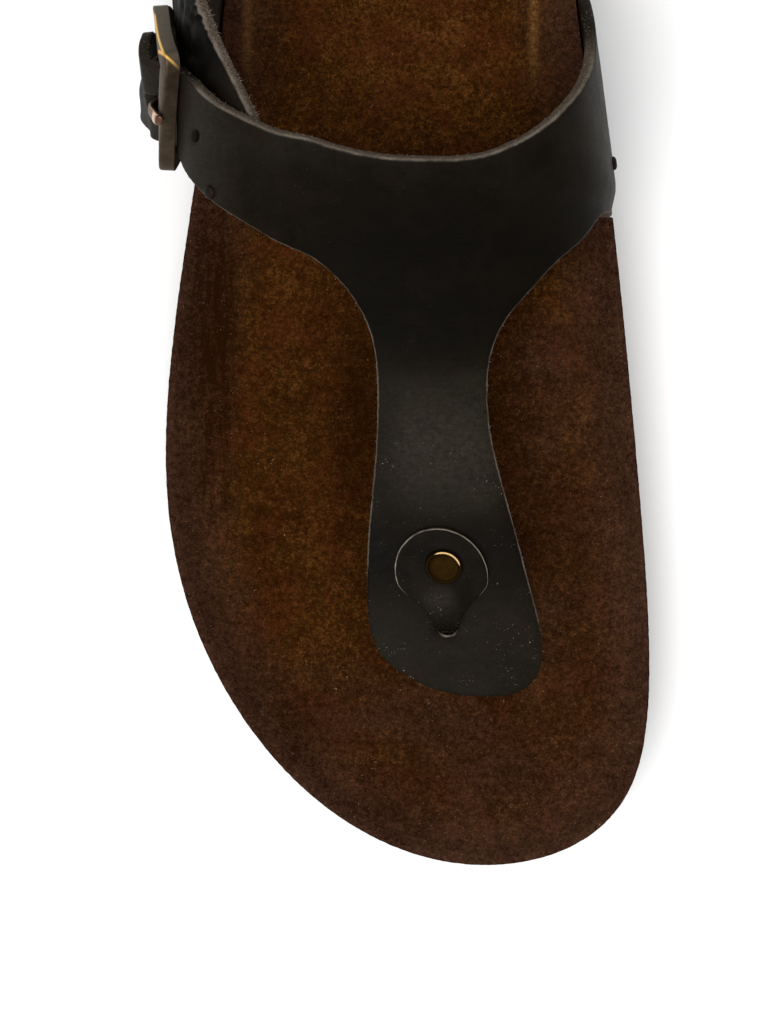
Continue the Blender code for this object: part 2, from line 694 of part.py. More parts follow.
def build_buckle_loop(slot, collection, cutters):
    """Strip folded round the centre bar, its two tails lying on the base strap."""
    middle_t = FRAME_LENGTH / 2
    inner = LEATHER + 1.5 * FIT_GAP + LOOP_LEATHER / 2
    bend = CENTRE_BAR_RADIUS + 0.45 + LOOP_LEATHER / 2
    bar_lift = frame_lift(middle_t)
    tail = middle_t + LOOP_TAIL
    path = [(tail, inner), (tail - 3.0, inner), (middle_t + 1.5, inner)]
    for degrees in np.linspace(-90, -270, 7):
        angle = math.radians(degrees)
        path.append((middle_t + bend * math.cos(angle), bar_lift + bend * math.sin(angle)))
    path += [(middle_t + 2.5, bar_lift + bend - 0.8), (tail - 3.0, inner + LOOP_LEATHER + FIT_GAP),
             (tail, inner + LOOP_LEATHER + FIT_GAP)]
    path = np.array(path)
    along = np.gradient(path, axis=0)
    along /= np.linalg.norm(along, axis=1, keepdims=True)
    across = np.stack([-along[:, 1], along[:, 0]], 1) * LOOP_LEATHER / 2
    profile = np.vstack([path + across, (path - across)[::-1]])
    rings = []
    for w in np.linspace(-LOOP_HALF_WIDTH, LOOP_HALF_WIDTH, 7):
        rings.append([arm_point(t, w, lift) for t, lift in profile])
    verts, faces = strip_solid(rings, len(path))
    result = add_object("buckle_loop", verts, faces, slot, collection)
    face_out(result)
    slot_half = PRONG_WIDTH / 2 + 0.5
    rings = [[arm_point(t, w, lift) for w, lift in ((-slot_half, 1.0), (slot_half, 1.0), (slot_half, 11.0),
                                                    (-slot_half, 11.0))]
             for t in (middle_t - 5.0, middle_t, middle_t + 3.6)]
    boolean(result, cutter("loop_slot", *loft(rings), cutters))
    return result


def strip_solid(rings, path_count):
    """Side-by-side copies of one folded profile; the two end faces are laddered."""
    verts, faces = loft(rings, capped=False)
    count = len(rings[0])
    for start in (0, (len(rings) - 1) * count):
        for i in range(path_count - 1):
            faces.append((start + i, start + i + 1, start + count - 2 - i, start + count - 1 - i))
    return verts, faces


def rounded_rectangle(length, width, corner, steps):
    """Closed path in t and w round a rectangle from t = 0 to its length."""
    path = []
    for centre_t, centre_w, start in ((length - corner, width / 2 - corner, 0),
                                      (corner, width / 2 - corner, 90),
                                      (corner, corner - width / 2, 180),
                                      (length - corner, corner - width / 2, 270)):
        for degrees in np.linspace(start, start + 90, steps):
            angle = math.radians(degrees)
            path.append((centre_t + corner * math.cos(angle), centre_w + corner * math.sin(angle)))
    return densify(np.array(path), 5.0)


def densify(path, longest):
    result = []
    for a, b in zip(path, np.roll(path, -1, axis=0)):
        pieces = max(1, round(float(np.linalg.norm(b - a)) / longest))
        result += [a + (b - a) * k / pieces for k in range(pieces)]
    return np.array(result)


def build_buckle_frame(slot, collection, cutters):
    path = rounded_rectangle(FRAME_LENGTH, FRAME_WIDTH, FRAME_CORNER, 4)
    middle = np.array([FRAME_LENGTH / 2, 0.0])
    ahead = np.roll(path, -1, axis=0) - np.roll(path, 1, axis=0)
    ahead /= np.linalg.norm(ahead, axis=1, keepdims=True)
    half, thick, edge = BAR_WIDTH / 2, BAR_THICKNESS / 2, 0.7
    section = [(-half, -thick), (half, -thick), (half, thick - edge), (half - edge, thick),
               (edge - half, thick), (-half, thick - edge)]
    rings = []
    for point, direction in zip(path, ahead):
        side = np.array([direction[1], -direction[0]])
        if side @ (point - middle) < 0:
            side = -side
        ring = []
        for out, up in section:
            t, w = point + side * out
            ring.append(arm_point(t, w, frame_lift(point[0]) + up))
        rings.append(ring)
    result = add_object("buckle_frame", *closed_loft(rings), slot, collection)
    face_out(result)
    middle_t, bar = FRAME_LENGTH / 2, []
    for w in np.linspace(-FRAME_WIDTH / 2, FRAME_WIDTH / 2, 5):
        turn_by = np.linspace(0, 2 * math.pi, 10, endpoint=False)
        bar.append([arm_point(middle_t + CENTRE_BAR_RADIUS * math.cos(a), w,
                              frame_lift(middle_t) + CENTRE_BAR_RADIUS * math.sin(a)) for a in turn_by])
    boolean(result, cutter("centre_bar", *loft(bar), cutters), "UNION")
    return result


def build_prong(slot, collection):
    """Ring round the centre bar and a bent tongue that ends on the outer bar."""
    middle_t, bar_lift = FRAME_LENGTH / 2, frame_lift(FRAME_LENGTH / 2)
    inner, outer = CENTRE_BAR_RADIUS + 0.3, CENTRE_BAR_RADIUS + 0.3 + PRONG_THICKNESS
    rest = OUTER_BAR_LIFT + BAR_THICKNESS / 2 + FIT_GAP + PRONG_THICKNESS / 2
    path = []
    for degrees in np.linspace(-172, 90, 11):
        angle = math.radians(degrees)
        radius = (inner + outer) / 2
        path.append((middle_t + radius * math.cos(angle), bar_lift + radius * math.sin(angle)))
    top = bar_lift + (inner + outer) / 2
    path += [(9.8, top + 0.1), (8.2, top + 0.75), (6.2, top + 1.9), (3.6, rest + 0.3), (0.8, rest + 0.05),
             (-2.2, rest - 0.1)]
    path = np.array(path)
    along = np.gradient(path, axis=0)
    along /= np.linalg.norm(along, axis=1, keepdims=True)
    across = np.stack([-along[:, 1], along[:, 0]], 1)
    rings = []
    for i, (point, side) in enumerate(zip(path, across)):
        narrow = 1.0 if i < len(path) - 2 else (0.8 if i < len(path) - 1 else 0.5)
        half_w, half_t = PRONG_WIDTH / 2 * narrow, PRONG_THICKNESS / 2 * min(narrow + 0.1, 1.0)
        ring = []
        for w, h in ((-half_w, -half_t), (half_w, -half_t), (half_w, half_t), (-half_w, half_t)):
            t, lift = point + side * h
            ring.append(arm_point(t, w, lift))
        rings.append(ring)
    result = add_object("buckle_prong", *loft(rings), slot, collection)
    face_out(result)
    return result


# ---- toe post and small metal --------------------------------------------------------------

def teardrop_half(v):
    """Half width of the folded strip at v: straight from the slit, then round."""
    from_middle = v - (POST_V + TEARDROP_REACH)
    start = SLIT_WIDTH / 2
    apex = math.atan2(-TEARDROP_REACH, start)
    touch = apex + math.acos(TEARDROP_RADIUS / math.hypot(TEARDROP_REACH, start))
    touch_x, touch_v = TEARDROP_RADIUS * math.cos(touch), TEARDROP_RADIUS * math.sin(touch)
    if from_middle < touch_v:
        share = (from_middle + TEARDROP_REACH) / (touch_v + TEARDROP_REACH)
        return start + (touch_x - start) * max(share, 0.0)
    return math.sqrt(max(TEARDROP_RADIUS**2 - from_middle**2, 0.0))


def build_toe_post(slot, collection):
    """Post from the footbed, through the slit and back along the strap."""
    columns = np.linspace(-1, 1, 9)
    thick = STRIP_THICKNESS / 2
    bend = thick + 0.6
    rest = LEATHER + FIT_GAP + thick
    rows = []
    anchor = lifted(POST_U, POST_V, -3.0)
    for z, width, depth in ((POST_ROOT, POST_WIDTH, POST_DEPTH), (24.0, POST_WIDTH, POST_DEPTH),
                            (anchor[2] - 4.0, POST_WIDTH, POST_DEPTH), (anchor[2] - 0.5, SLIT_WIDTH, 2.4)):
        rounding = np.sqrt(1 - 0.7 * columns**2)
        base = np.array([anchor[0], anchor[1], z])
        back = [base + (c * width / 2, depth / 2 * r, 0) for c, r in zip(columns, rounding)]
        front = [base + (c * width / 2, -depth / 2 * r, 0) for c, r in zip(columns, rounding)]
        rows.append((back, front))
    steps = [(POST_V, -0.6, 90.0), (POST_V, rest - bend, 90.0)]
    for degrees in (60.0, 30.0):
        angle = math.radians(degrees)
        steps.append((POST_V + bend - bend * math.sin(angle), rest - bend + bend * math.cos(angle), degrees))
    start = POST_V + bend
    finish = POST_V + TEARDROP_REACH + TEARDROP_RADIUS
    for q in np.sin(np.linspace(0, math.pi / 2 * 0.93, 9)):
        steps.append((start + (finish - start) * q, rest, 0.0))
    for v, lift, degrees in steps:
        half = teardrop_half(v) if degrees == 0.0 else SLIT_WIDTH / 2
        angle = math.radians(degrees)
        shift_v, shift_lift = thick * math.sin(angle), thick * math.cos(angle)
        back = [lifted(POST_U + c * half, v + shift_v, lift - shift_lift) for c in columns]
        front = [lifted(POST_U + c * half, v - shift_v, lift + shift_lift) for c in columns]
        rows.append((back, front))
    rings = [list(back) + list(front)[::-1] for back, front in rows]
    verts, faces = strip_solid(rings, len(columns))
    result = add_object("toe_post", verts, faces, slot, collection)
    face_out(result)
    return result


def box_cutter(name, low, high, collection):
    """Box between two corners, only used to cut another solid."""
    mesh, work = bpy.data.meshes.new(name), bmesh.new()
    bmesh.ops.create_cube(work, size=1.0)
    for vert in work.verts:
        vert.co = Vector(a + (b - a) * (c + 0.5) for a, b, c in zip(low, high, vert.co)) * MM
    work.to_mesh(mesh)
    work.free()
    return hide_cutter(mesh, collection)


def build_cap(name, place, lift, radius, height, slot, collection, segments):
    """Low domed head, turned round its own axis and seated square on the leather."""
    u, v = place
    profile = [(0.0, 0.0), (radius, 0.0), (radius, height * 0.35), (radius * 0.82, height * 0.78),
               (radius * 0.45, height * 0.96), (0.0, height)]
    mesh = bpy.data.meshes.new(name)
    edges = [(i, i + 1) for i in range(len(profile) - 1)]
    mesh.from_pydata([(r * MM, 0.0, z * MM) for r, z in profile], edges, [])
    mesh.materials.append(slot)
    result = bpy.data.objects.new(name, mesh)
    collection.objects.link(result)
    normal = Vector(outward(u, v))
    result.location = Vector(lifted(u, v, lift)) * MM
    result.rotation_mode = "QUATERNION"
    result.rotation_quaternion = normal.to_track_quat("Z", "Y")
    screw = result.modifiers.new("turned", "SCREW")
    screw.axis = "Z"
    screw.steps = segments
    screw.render_steps = segments
    screw.use_merge_vertices = True
    screw.merge_threshold = 0.00001
    screw.use_normal_calculate = True
    return result


# ---- the sandal ---------------------------------------------------------------------------

def main():
    for thing in list(bpy.data.objects):
        bpy.data.objects.remove(thing, do_unlink=True)
    parts = bpy.data.collections.new(NAME)
    cutters = bpy.data.collections.new("cutters")
    bpy.context.scene.collection.children.link(parts)
    bpy.context.scene.collection.children.link(cutters)

    rubber = material("outsole_eva", (0.012, 0.010, 0.009), 0.75)
    cork = material("cork", (0.31, 0.17, 0.08), 0.85)
    suede = material("brown_suede", (0.050, 0.022, 0.008), 0.95)
    leather = material("oiled_leather", (0.013, 0.011, 0.008), 0.48)
    bronze = material("antique_bronze", (0.11, 0.075, 0.04), 0.4, 1.0)
    brass = material("aged_brass", (0.30, 0.17, 0.05), 0.35, 1.0)

    patch = bed_patch()
    build_outsole(rubber, parts, cutters)
    cork_block = build_cork(patch, cork, parts)
    insole = build_insole(patch, suede, parts)
    post_x, post_y, _ = lifted(POST_U, POST_V, -3.0)
    half_x, half_y = POST_WIDTH / 2 + FIT_GAP, POST_DEPTH / 2 + FIT_GAP
    pocket = box_cutter("post_pocket", (post_x - half_x, post_y - half_y, POST_ROOT - FIT_GAP),
                        (post_x + half_x, post_y + half_y, 34.0), cutters)
    boolean(cork_block, pocket)
    boolean(insole, pocket)

    build_toe_strap(leather, parts)
    build_base_strap(leather, parts)
    build_buckle_loop(leather, parts, cutters)
    build_buckle_frame(bronze, parts, cutters)
    build_prong(brass, parts)
    build_toe_post(leather, parts)
    rivet_lift = LEATHER + STRIP_THICKNESS + 2 * FIT_GAP
    rivet_place = (POST_U, POST_V + TEARDROP_REACH + 1.0)
    build_cap("post_rivet", rivet_place, rivet_lift, RIVET_RADIUS, RIVET_HEIGHT, brass, parts, 24)
    for name, place in (("tack_medial", TACK_MEDIAL), ("tack_lateral", TACK_LATERAL)):
        lift = strap_lift(*place) + LEATHER + FIT_GAP
        build_cap(name, place, lift, TACK_RADIUS, TACK_HEIGHT, bronze, parts, 12)


main()
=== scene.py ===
import math
import bpy
import bmesh
import numpy as np
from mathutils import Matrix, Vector, noise
from mathutils.geometry import delaunay_2d_cdt
from mathutils.kdtree import KDTree


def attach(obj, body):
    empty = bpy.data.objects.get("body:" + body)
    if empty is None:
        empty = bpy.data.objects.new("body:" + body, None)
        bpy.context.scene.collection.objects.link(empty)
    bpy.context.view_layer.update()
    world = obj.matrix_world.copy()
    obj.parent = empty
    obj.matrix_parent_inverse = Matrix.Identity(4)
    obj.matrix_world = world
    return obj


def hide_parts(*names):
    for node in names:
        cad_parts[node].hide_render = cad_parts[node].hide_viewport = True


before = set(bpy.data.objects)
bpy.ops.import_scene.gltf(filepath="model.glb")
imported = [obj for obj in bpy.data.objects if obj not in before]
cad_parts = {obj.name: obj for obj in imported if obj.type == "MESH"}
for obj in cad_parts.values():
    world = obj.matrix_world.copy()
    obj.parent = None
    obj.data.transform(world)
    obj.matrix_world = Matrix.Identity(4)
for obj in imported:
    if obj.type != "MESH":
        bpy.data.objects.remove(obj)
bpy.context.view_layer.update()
root = "root"
mm = 0.001      # every size below is in millimetres; toe towards -Y, big toe side +X

# the shape of the sole and of the foot form: the same rows as the solids
sole = {
    "length": 280.0, "suede": 1.6, "fitGap": 0.3, "sideTaper": 2.0, "rimTop": 1.4,
    "strapRecess": 1.8, "recessRoom": 0.25, "recessRamp": 0.65,
    "frontEase": 1.5, "easeFrom": 9.0, "easeOver": 6.0,     # the medial strap lies in flush at its front
    "outsoleInset": 0.3, "outsoleThickness": 9.0, "toeSpring": 9.0, "toeThinning": 2.0, "toeCurve": 1.8,
    "heelBevel": 3.0, "heelCurve": 1.6, "heelThickening": 0.8, "flatFrom": -78.0, "flatTo": 122.0,
}
footbedShape = {
    "sideBlend": 10, "riseCurve": 2.1,
    "padHeight": 2.2, "padAt": (2, -8), "padSize": (17, 20),
    "ridgeHeight": 1.3, "ridgeAt": (5, -84), "ridgeSlant": 0.12, "ridgeWidth": 7, "ridgeMiddle": 3,
    "ridgeReach": 40, "ridgeFade": 14,
}
outlineRows = np.array([        # y, lateral x, medial x
    (-140.0, 19.5, 19.5), (-134.5, -4.0, 41.0), (-122.0, -22.0, 52.0), (-104.0, -36.5, 55.6),
    (-86.0, -45.2, 55.6), (-60.0, -50.8, 53.8), (-30.0, -50.2, 51.0), (0.0, -46.2, 47.6),
    (30.0, -41.8, 43.5), (60.0, -39.2, 39.6), (90.0, -38.6, 37.8), (115.0, -35.0, 34.4),
    (132.0, -22.0, 21.5), (140.0, -0.5, -0.5)])
footbedRows = np.array([        # y, bed height, lateral rim, medial rim, width of each rise
    (-140.0, 25.0, 29.0, 29.0, 9.0, 9.0), (-115.0, 22.0, 26.0, 26.0, 9.0, 9.0),
    (-80.0, 20.0, 24.0, 24.5, 9.0, 9.0), (-50.0, 20.0, 24.0, 25.5, 9.0, 10.0),
    (-15.0, 22.0, 26.0, 29.5, 13.0, 20.0), (20.0, 24.5, 30.0, 36.5, 18.0, 32.0),
    (50.0, 25.5, 32.5, 39.0, 22.0, 33.0), (85.0, 26.0, 35.5, 38.0, 24.0, 26.0),
    (140.0, 27.0, 39.0, 39.0, 25.0, 25.0)])
formRows = np.array([           # y, crest x, crest z, where each side stands upright, lateral lean
    (-112.0, 13.5, 35.0, 26.0, 27.0, 0.0), (-90.0, 12.4, 39.0, 26.0, 27.0, 0.0),
    (-66.0, 9.5, 43.8, 26.0, 27.0, 0.0), (-38.0, 7.5, 51.7, 27.5, 29.0, 0.0),
    (-15.0, 7.0, 61.5, 34.0, 32.0, 0.0), (11.0, 7.0, 76.5, 42.5, 36.5, -0.7),
    (50.0, 6.0, 98.0, 49.0, 41.5, 7.2), (85.0, 5.0, 116.0, 57.0, 43.0, 6.2)])
fullness = {"lateral": 2.35, "medial": 2.4}
medialFoot, baseFoot = (3.5, 57.0), (17.0, 57.0)     # the strap ends meet the sole between these y


def spline(xs, ys):
    count, step = len(xs), np.diff(xs)
    system, right = np.eye(count), np.zeros(count)
    for i in range(1, count - 1):
        system[i, i - 1:i + 2] = step[i - 1], 2 * (step[i - 1] + step[i]), step[i]
        right[i] = 6 * ((ys[i + 1] - ys[i]) / step[i] - (ys[i] - ys[i - 1]) / step[i - 1])
    bend = np.linalg.solve(system, right)

    def value(x):
        x = np.clip(x, xs[0], xs[-1])
        i = np.clip(np.searchsorted(xs, x) - 1, 0, count - 2)
        a = (xs[i + 1] - x) / step[i]
        b = 1 - a
        return a * ys[i] + b * ys[i + 1] + ((a**3 - a) * bend[i] + (b**3 - b) * bend[i + 1]) * step[i]**2 / 6
    return value


def smooth(q):
    q = np.clip(q, 0.0, 1.0)
    return q * q * (3 - 2 * q)


def rising(x, start, over):         # 0 up to start, 1 once over has passed
    return smooth((x - start) / over)


def falling(x, end, over):          # 0 from end on, 1 while over lies before it
    return smooth((end - x) / over)


def bell(distance, width):
    return np.exp(-(distance / width)**2)


def hill(x, y, width, length):
    return np.exp(-(x / width)**2 - (y / length)**2)


def unit(rows):
    return rows / np.linalg.norm(rows, axis=1, keepdims=True)


def runOf(points):
    return np.append(0, np.cumsum(np.linalg.norm(np.diff(points, axis=0), axis=1)))


def readAt(at, run, rows):
    return np.stack([np.interp(at, run, column) for column in rows.T], 1)


def resample(points, spacing, closed=False):
    points = np.asarray(points, float)
    if closed:
        points = np.vstack([points, points[:1]])
    run = runOf(points)
    count = max(3, round(run[-1] / spacing) + (0 if closed else 1))
    return readAt(np.linspace(0, run[-1], count, endpoint=not closed), run, points)


def through(points, spacing):       # a spline through all the points
    points = np.asarray(points, float)
    run = runOf(points)
    at = np.linspace(0, run[-1], 40 * len(points))
    return resample(np.stack([spline(run, column)(at) for column in points.T], 1), spacing)


def arc(x, y, radius, first, last, count):      # angles in degrees
    turns = np.radians(np.linspace(first, last, count))
    return [(x + radius * math.cos(a), y + radius * math.sin(a)) for a in turns]


def ovalLoop(centre, halfX, halfY, count, power=2.0):
    a = np.linspace(0, 2 * math.pi, count, endpoint=False)
    shape = [np.sign(k) * np.abs(k)**(2 / power) for k in (np.cos(a), np.sin(a))]
    return np.stack([centre[0] + halfX * shape[0], centre[1] + halfY * shape[1]], 1)


def insetLoop(loop, distance):      # to the left of its own direction
    side = np.roll(loop, -1, axis=0) - np.roll(loop, 1, axis=0)
    return loop + unit(np.stack([-side[:, 1], side[:, 0]], 1)) * distance


def isInside(points, outline):
    x, y = points[:, 0], points[:, 1]
    result = np.zeros(len(points), bool)
    for (ax, ay), (bx, by) in zip(outline, np.roll(outline, -1, axis=0)):
        if ay != by:
            result ^= ((ay > y) != (by > y)) & (x < (bx - ax) * (y - ay) / (by - ay) + ax)
    return result


def distanceTo(outline, points):
    dense = resample(outline, 0.3, closed=True)
    tree = KDTree(len(dense))
    for i, p in enumerate(dense):
        tree.insert((p[0], p[1], 0.0), i)
    tree.balance()
    return np.array([tree.find((p[0], p[1], 0.0))[2] for p in np.asarray(points)])


def turnOf(y):
    return np.arccos(np.clip(-2 * np.asarray(y, float) / sole["length"], -1, 1))


lateralByTurn, medialByTurn = (spline(turnOf(outlineRows[:, 0]), outlineRows[:, k]) for k in (1, 2))
bedHeight, lateralRim, medialRim, lateralRise, medialRise = (
    spline(footbedRows[:, 0], footbedRows[:, k]) for k in range(1, 6))
crestX, crestZ, lateralShoulder, medialShoulder, lateralLean = (
    spline(formRows[:, 0], formRows[:, k]) for k in range(1, 6))
halfTurn = np.linspace(0, math.pi, 801)
rimOutline = np.vstack([
    np.stack([edgeByTurn(halfTurn), -np.cos(halfTurn) * sole["length"] / 2], 1)[::step][:-1]
    for edgeByTurn, step in ((medialByTurn, 1), (lateralByTurn, -1))])


def lateralEdge(y):
    return lateralByTurn(turnOf(y))


def medialEdge(y):
    return medialByTurn(turnOf(y))


def middleOf(y):
    return (lateralEdge(y) + medialEdge(y)) / 2


def frontEase(y):
    return sole["frontEase"] * falling(y, sole["easeFrom"], sole["easeOver"])


def recess(x, y):           # how deep the strap ends lie in the footbed's side
    medial, ramp = x > middleOf(y), sole["recessRamp"]
    first = np.where(medial, medialFoot[0], baseFoot[0]) - sole["recessRoom"]
    last = np.where(medial, medialFoot[1], baseFoot[1]) + sole["recessRoom"]
    depth = sole["strapRecess"] + np.where(medial, frontEase(y), 0.0)
    return depth * smooth((y - first) / ramp + 1) * smooth((last - y) / ramp + 1)


def edgeLoop(inset, count, letIn=False):
    loop = resample(rimOutline, 0.5, closed=True)
    moved = insetLoop(loop, inset)
    if letIn:
        moved[:, 0] -= np.sign(loop[:, 0] - middleOf(loop[:, 1])) * recess(loop[:, 0], loop[:, 1])
    at = np.linspace(0, len(loop), count, endpoint=False)
    return readAt(at, np.arange(len(loop) + 1), np.vstack([moved, moved[:1]]))


def footbedHeight(points):
    shape = footbedShape
    points = np.asarray(points, float)
    x, y = points[:, 0], points[:, 1]
    toMedial = 0.5 + 0.5 * np.tanh((x - middleOf(y)) / shape["sideBlend"])
    width = lateralRise(y) * (1 - toMedial) + medialRise(y) * toMedial
    rim = lateralRim(y) * (1 - toMedial) + medialRim(y) * toMedial
    rise = np.clip(1 - (distanceTo(rimOutline, points) - sole["rimTop"]) / width, 0, 1)**shape["riseCurve"]
    pad = shape["padHeight"] * hill(x - shape["padAt"][0], y - shape["padAt"][1], *shape["padSize"])
    slant = shape["ridgeSlant"] * (x - shape["ridgeAt"][0])
    ridge = shape["ridgeHeight"] * bell(y - shape["ridgeAt"][1] + slant, shape["ridgeWidth"])
    ridge *= falling(np.abs(x - shape["ridgeMiddle"]), shape["ridgeReach"], shape["ridgeFade"])
    return bedHeight(y) + (rim - bedHeight(y)) * rise + (pad + ridge) * (1 - rise)


def corkTop(points):
    return footbedHeight(points) - sole["suede"] - sole["fitGap"]


def toeLift(y):
    return np.clip((sole["flatFrom"] - y) / (sole["flatFrom"] + sole["length"] / 2), 0, 1)**sole["toeCurve"]


def heelShare(y):
    return (np.asarray(y, float) - sole["flatTo"]) / (sole["length"] / 2 - sole["flatTo"])


def soleBottom(y):
    return sole["toeSpring"] * toeLift(y) + sole["heelBevel"] * np.clip(heelShare(y), 0, 1)**sole["heelCurve"]


def outsoleTop(y):
    toe, heel = sole["toeSpring"] - sole["toeThinning"], sole["heelThickening"]
    return sole["outsoleThickness"] + toe * toeLift(y) + heel * smooth(heelShare(y))


# the form under the straps: u runs across it from its crest, v along Y
formV = np.linspace(-135, 100, 471)
corkEdge = {}
for sideName, edgeOf, sign in (("medial", medialEdge, 1), ("lateral", lateralEdge, -1)):
    inner = edgeOf(formV) - sign * (sole["strapRecess"] + sole["rimTop"])
    corkEdge[sideName] = corkTop(np.stack([inner, formV], 1))


def formSections(u, v):
    medial = u >= 0
    side = np.where(medial, 1.0, -1.0)
    edge = np.where(medial, medialEdge(v), lateralEdge(v))
    power = np.where(medial, fullness["medial"], fullness["lateral"])[:, None]
    lean = np.where(medial, 0.0, lateralLean(v))
    wall = edge - side * (sole["strapRecess"] - sole["fitGap"]) - np.where(medial, frontEase(v), 0.0)
    shoulder = np.where(medial, medialShoulder(v), lateralShoulder(v))
    cork = np.where(medial, np.interp(v, formV, corkEdge["medial"]), np.interp(v, formV, corkEdge["lateral"]))
    reach = np.abs(wall + side * lean - crestX(v))[:, None]
    drop = np.maximum(crestZ(v) - shoulder, 3.0)[:, None]
    angle = np.linspace(math.pi / 2, 0, 120)[None, :]
    x = crestX(v)[:, None] + side[:, None] * reach * np.cos(angle)**(2 / power)
    z = crestZ(v)[:, None] - drop + drop * np.sin(angle)**(2 / power)
    x = np.hstack([x, wall[:, None], (wall - side * sole["sideTaper"])[:, None]])
    z = np.hstack([z, cork[:, None], (outsoleTop(v) + 2 * sole["fitGap"])[:, None]])
    run = np.hstack([np.zeros((len(u), 1)), np.cumsum(np.hypot(np.diff(x), np.diff(z)), axis=1)])
    return run, x, z


def onForm(u, v):
    u, v = np.asarray(u, float), np.asarray(v, float)
    result = np.empty((len(u), 3))
    result[:, 1] = v
    for first in range(0, len(u), 4000):
        part = slice(first, first + 4000)
        run, x, z = formSections(u[part], v[part])
        far = np.abs(u[part])
        i = np.clip((run <= far[:, None]).sum(axis=1) - 1, 0, run.shape[1] - 2)
        row = np.arange(len(far))
        share = (far - run[row, i]) / np.maximum(run[row, i + 1] - run[row, i], 1e-9)
        for k, line in ((0, x), (2, z)):
            result[part, k] = line[row, i] + share * (line[row, i + 1] - line[row, i])
    return result


def footRun(v, side):       # how far from the crest the strap ends at the outsole
    return formSections(np.array([side * 1.0]), np.array([float(v)]))[0][0, -1]


def lifted(u, v, lift):
    u, v = np.asarray(u, float), np.asarray(v, float)
    reach = 0.8
    across = onForm(u + reach, v) - onForm(u - reach, v)
    along = onForm(u, v + reach) - onForm(u, v - reach)
    return onForm(u, v) + unit(np.cross(across, along)) * np.asarray(lift, float).reshape(-1, 1)


def fillOutline(outline, net, holes=(), lines=()):
    loops = [np.asarray(loop, float) for loop in (outline, *holes)]
    points, edges = [], []
    for loop in loops + [np.asarray(line, float) for line in lines]:
        start = len(points)
        points += [Vector(p) for p in loop]
        edges += [(start + i, start + (i + 1) % len(loop)) for i in range(len(loop))]
    points += [Vector(p) for p in net]
    verts, _, faces, _, _, _ = delaunay_2d_cdt(points, edges, [], 0, 1e-6)
    verts = np.array([tuple(v) for v in verts])
    faces = np.array([f for f in faces if len(f) == 3])
    centres = verts[faces].mean(axis=1)
    keep = isInside(centres, loops[0])
    for hole in loops[1:]:
        keep &= ~isInside(centres, hole)
    return verts, faces[keep]


def netInside(outline, spacing, margin, holes=()):
    low, high = np.min(outline, axis=0), np.max(outline, axis=0)
    rows = np.array([(x, y) for j, y in enumerate(np.arange(low[1] + spacing / 2, high[1], spacing * 0.866))
                     for x in np.arange(low[0] + spacing / 2 * (1 + j % 2), high[0], spacing)])
    rows = rows[isInside(rows, outline)]
    rows = rows[distanceTo(outline, rows) > margin]
    for hole in holes:
        rows = rows[~isInside(rows, hole) & (distanceTo(hole, rows) > margin)]
    return rows


def turnsLeft(loop):
    after = np.roll(loop, -1, axis=0)
    return np.sum(loop[:, 0] * after[:, 1] - after[:, 0] * loop[:, 1]) > 0


def ladder(first, second, count):
    return [(first + j, first + (j + 1) % count, second + (j + 1) % count, second + j) for j in range(count)]


def ladders(rings, count):
    return [face for i in range(rings - 1) for face in ladder(i * count, (i + 1) * count, count)]


def fan(start, count, tip):
    return [(start + j, start + (j + 1) % count, tip) for j in range(count)]


def loft(rings):
    count, total = len(rings[0]), len(rings) * len(rings[0])
    verts = [tuple(p) for ring in rings for p in ring]
    verts += [tuple(np.mean(ring, axis=0)) for ring in (rings[0], rings[-1])]
    return verts, ladders(len(rings), count) + fan(0, count, total) + fan(total - count, count, total + 1)


def addCap(verts, faces, first, ring, net, heightOf, holes=()):
    # closes the ring whose points stand in verts from first on; the points after them are new
    count = len(ring)
    flat, cap = fillOutline(ring, net, holes)
    number = np.append(first + np.arange(count), len(verts) + np.arange(len(flat) - count))
    verts += [(*p, z) for p, z in zip(flat[count:], heightOf(flat[count:]))]
    faces += [tuple(number[list(f)]) for f in cap]


def newObject(name, data):
    made = bpy.data.objects.new(name, data)
    bpy.context.scene.collection.objects.link(made)
    return made


def makePiece(name, verts, faces, finish, replaced=(), values=None, uv=None, smoothAngle=50):
    mesh = bpy.data.meshes.new(name)
    corners = [tuple(map(int, f)) for f in faces]
    mesh.from_pydata([tuple(p) for p in np.asarray(verts, float) * mm], [], corners)
    for key, numbers in (values or {}).items():
        layer = mesh.attributes.new(key, "FLOAT", "POINT")
        layer.data.foreach_set("value", np.asarray(numbers, np.float32))
    if uv is not None:
        layer, corner = mesh.uv_layers.new(name="pattern"), np.empty(len(mesh.loops), int)
        mesh.loops.foreach_get("vertex_index", corner)
        layer.data.foreach_set("uv", (np.asarray(uv, float) * mm * 10)[corner].astype(np.float32).ravel())
    work = bmesh.new()
    work.from_mesh(mesh)
    bmesh.ops.recalc_face_normals(work, faces=work.faces)
    work.to_mesh(mesh)
    work.free()
    mesh.shade_smooth()
    mesh.set_sharp_from_angle(angle=math.radians(smoothAngle))
    mesh.materials.append(finish)
    return settle(newObject(name, mesh), replaced)


def settle(piece, replaced=()):
    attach(piece, root)
    if replaced:
        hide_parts(*replaced)
    print(piece.name, len(piece.data.polygons), "faces")
    return piece


def reliefOf(points, width, length, seed, roughness=0.7, octaves=4):
    return np.array([noise.fractal(Vector((a / width, b / length, seed)), roughness, 2.0, octaves)
                     for a, b in points])


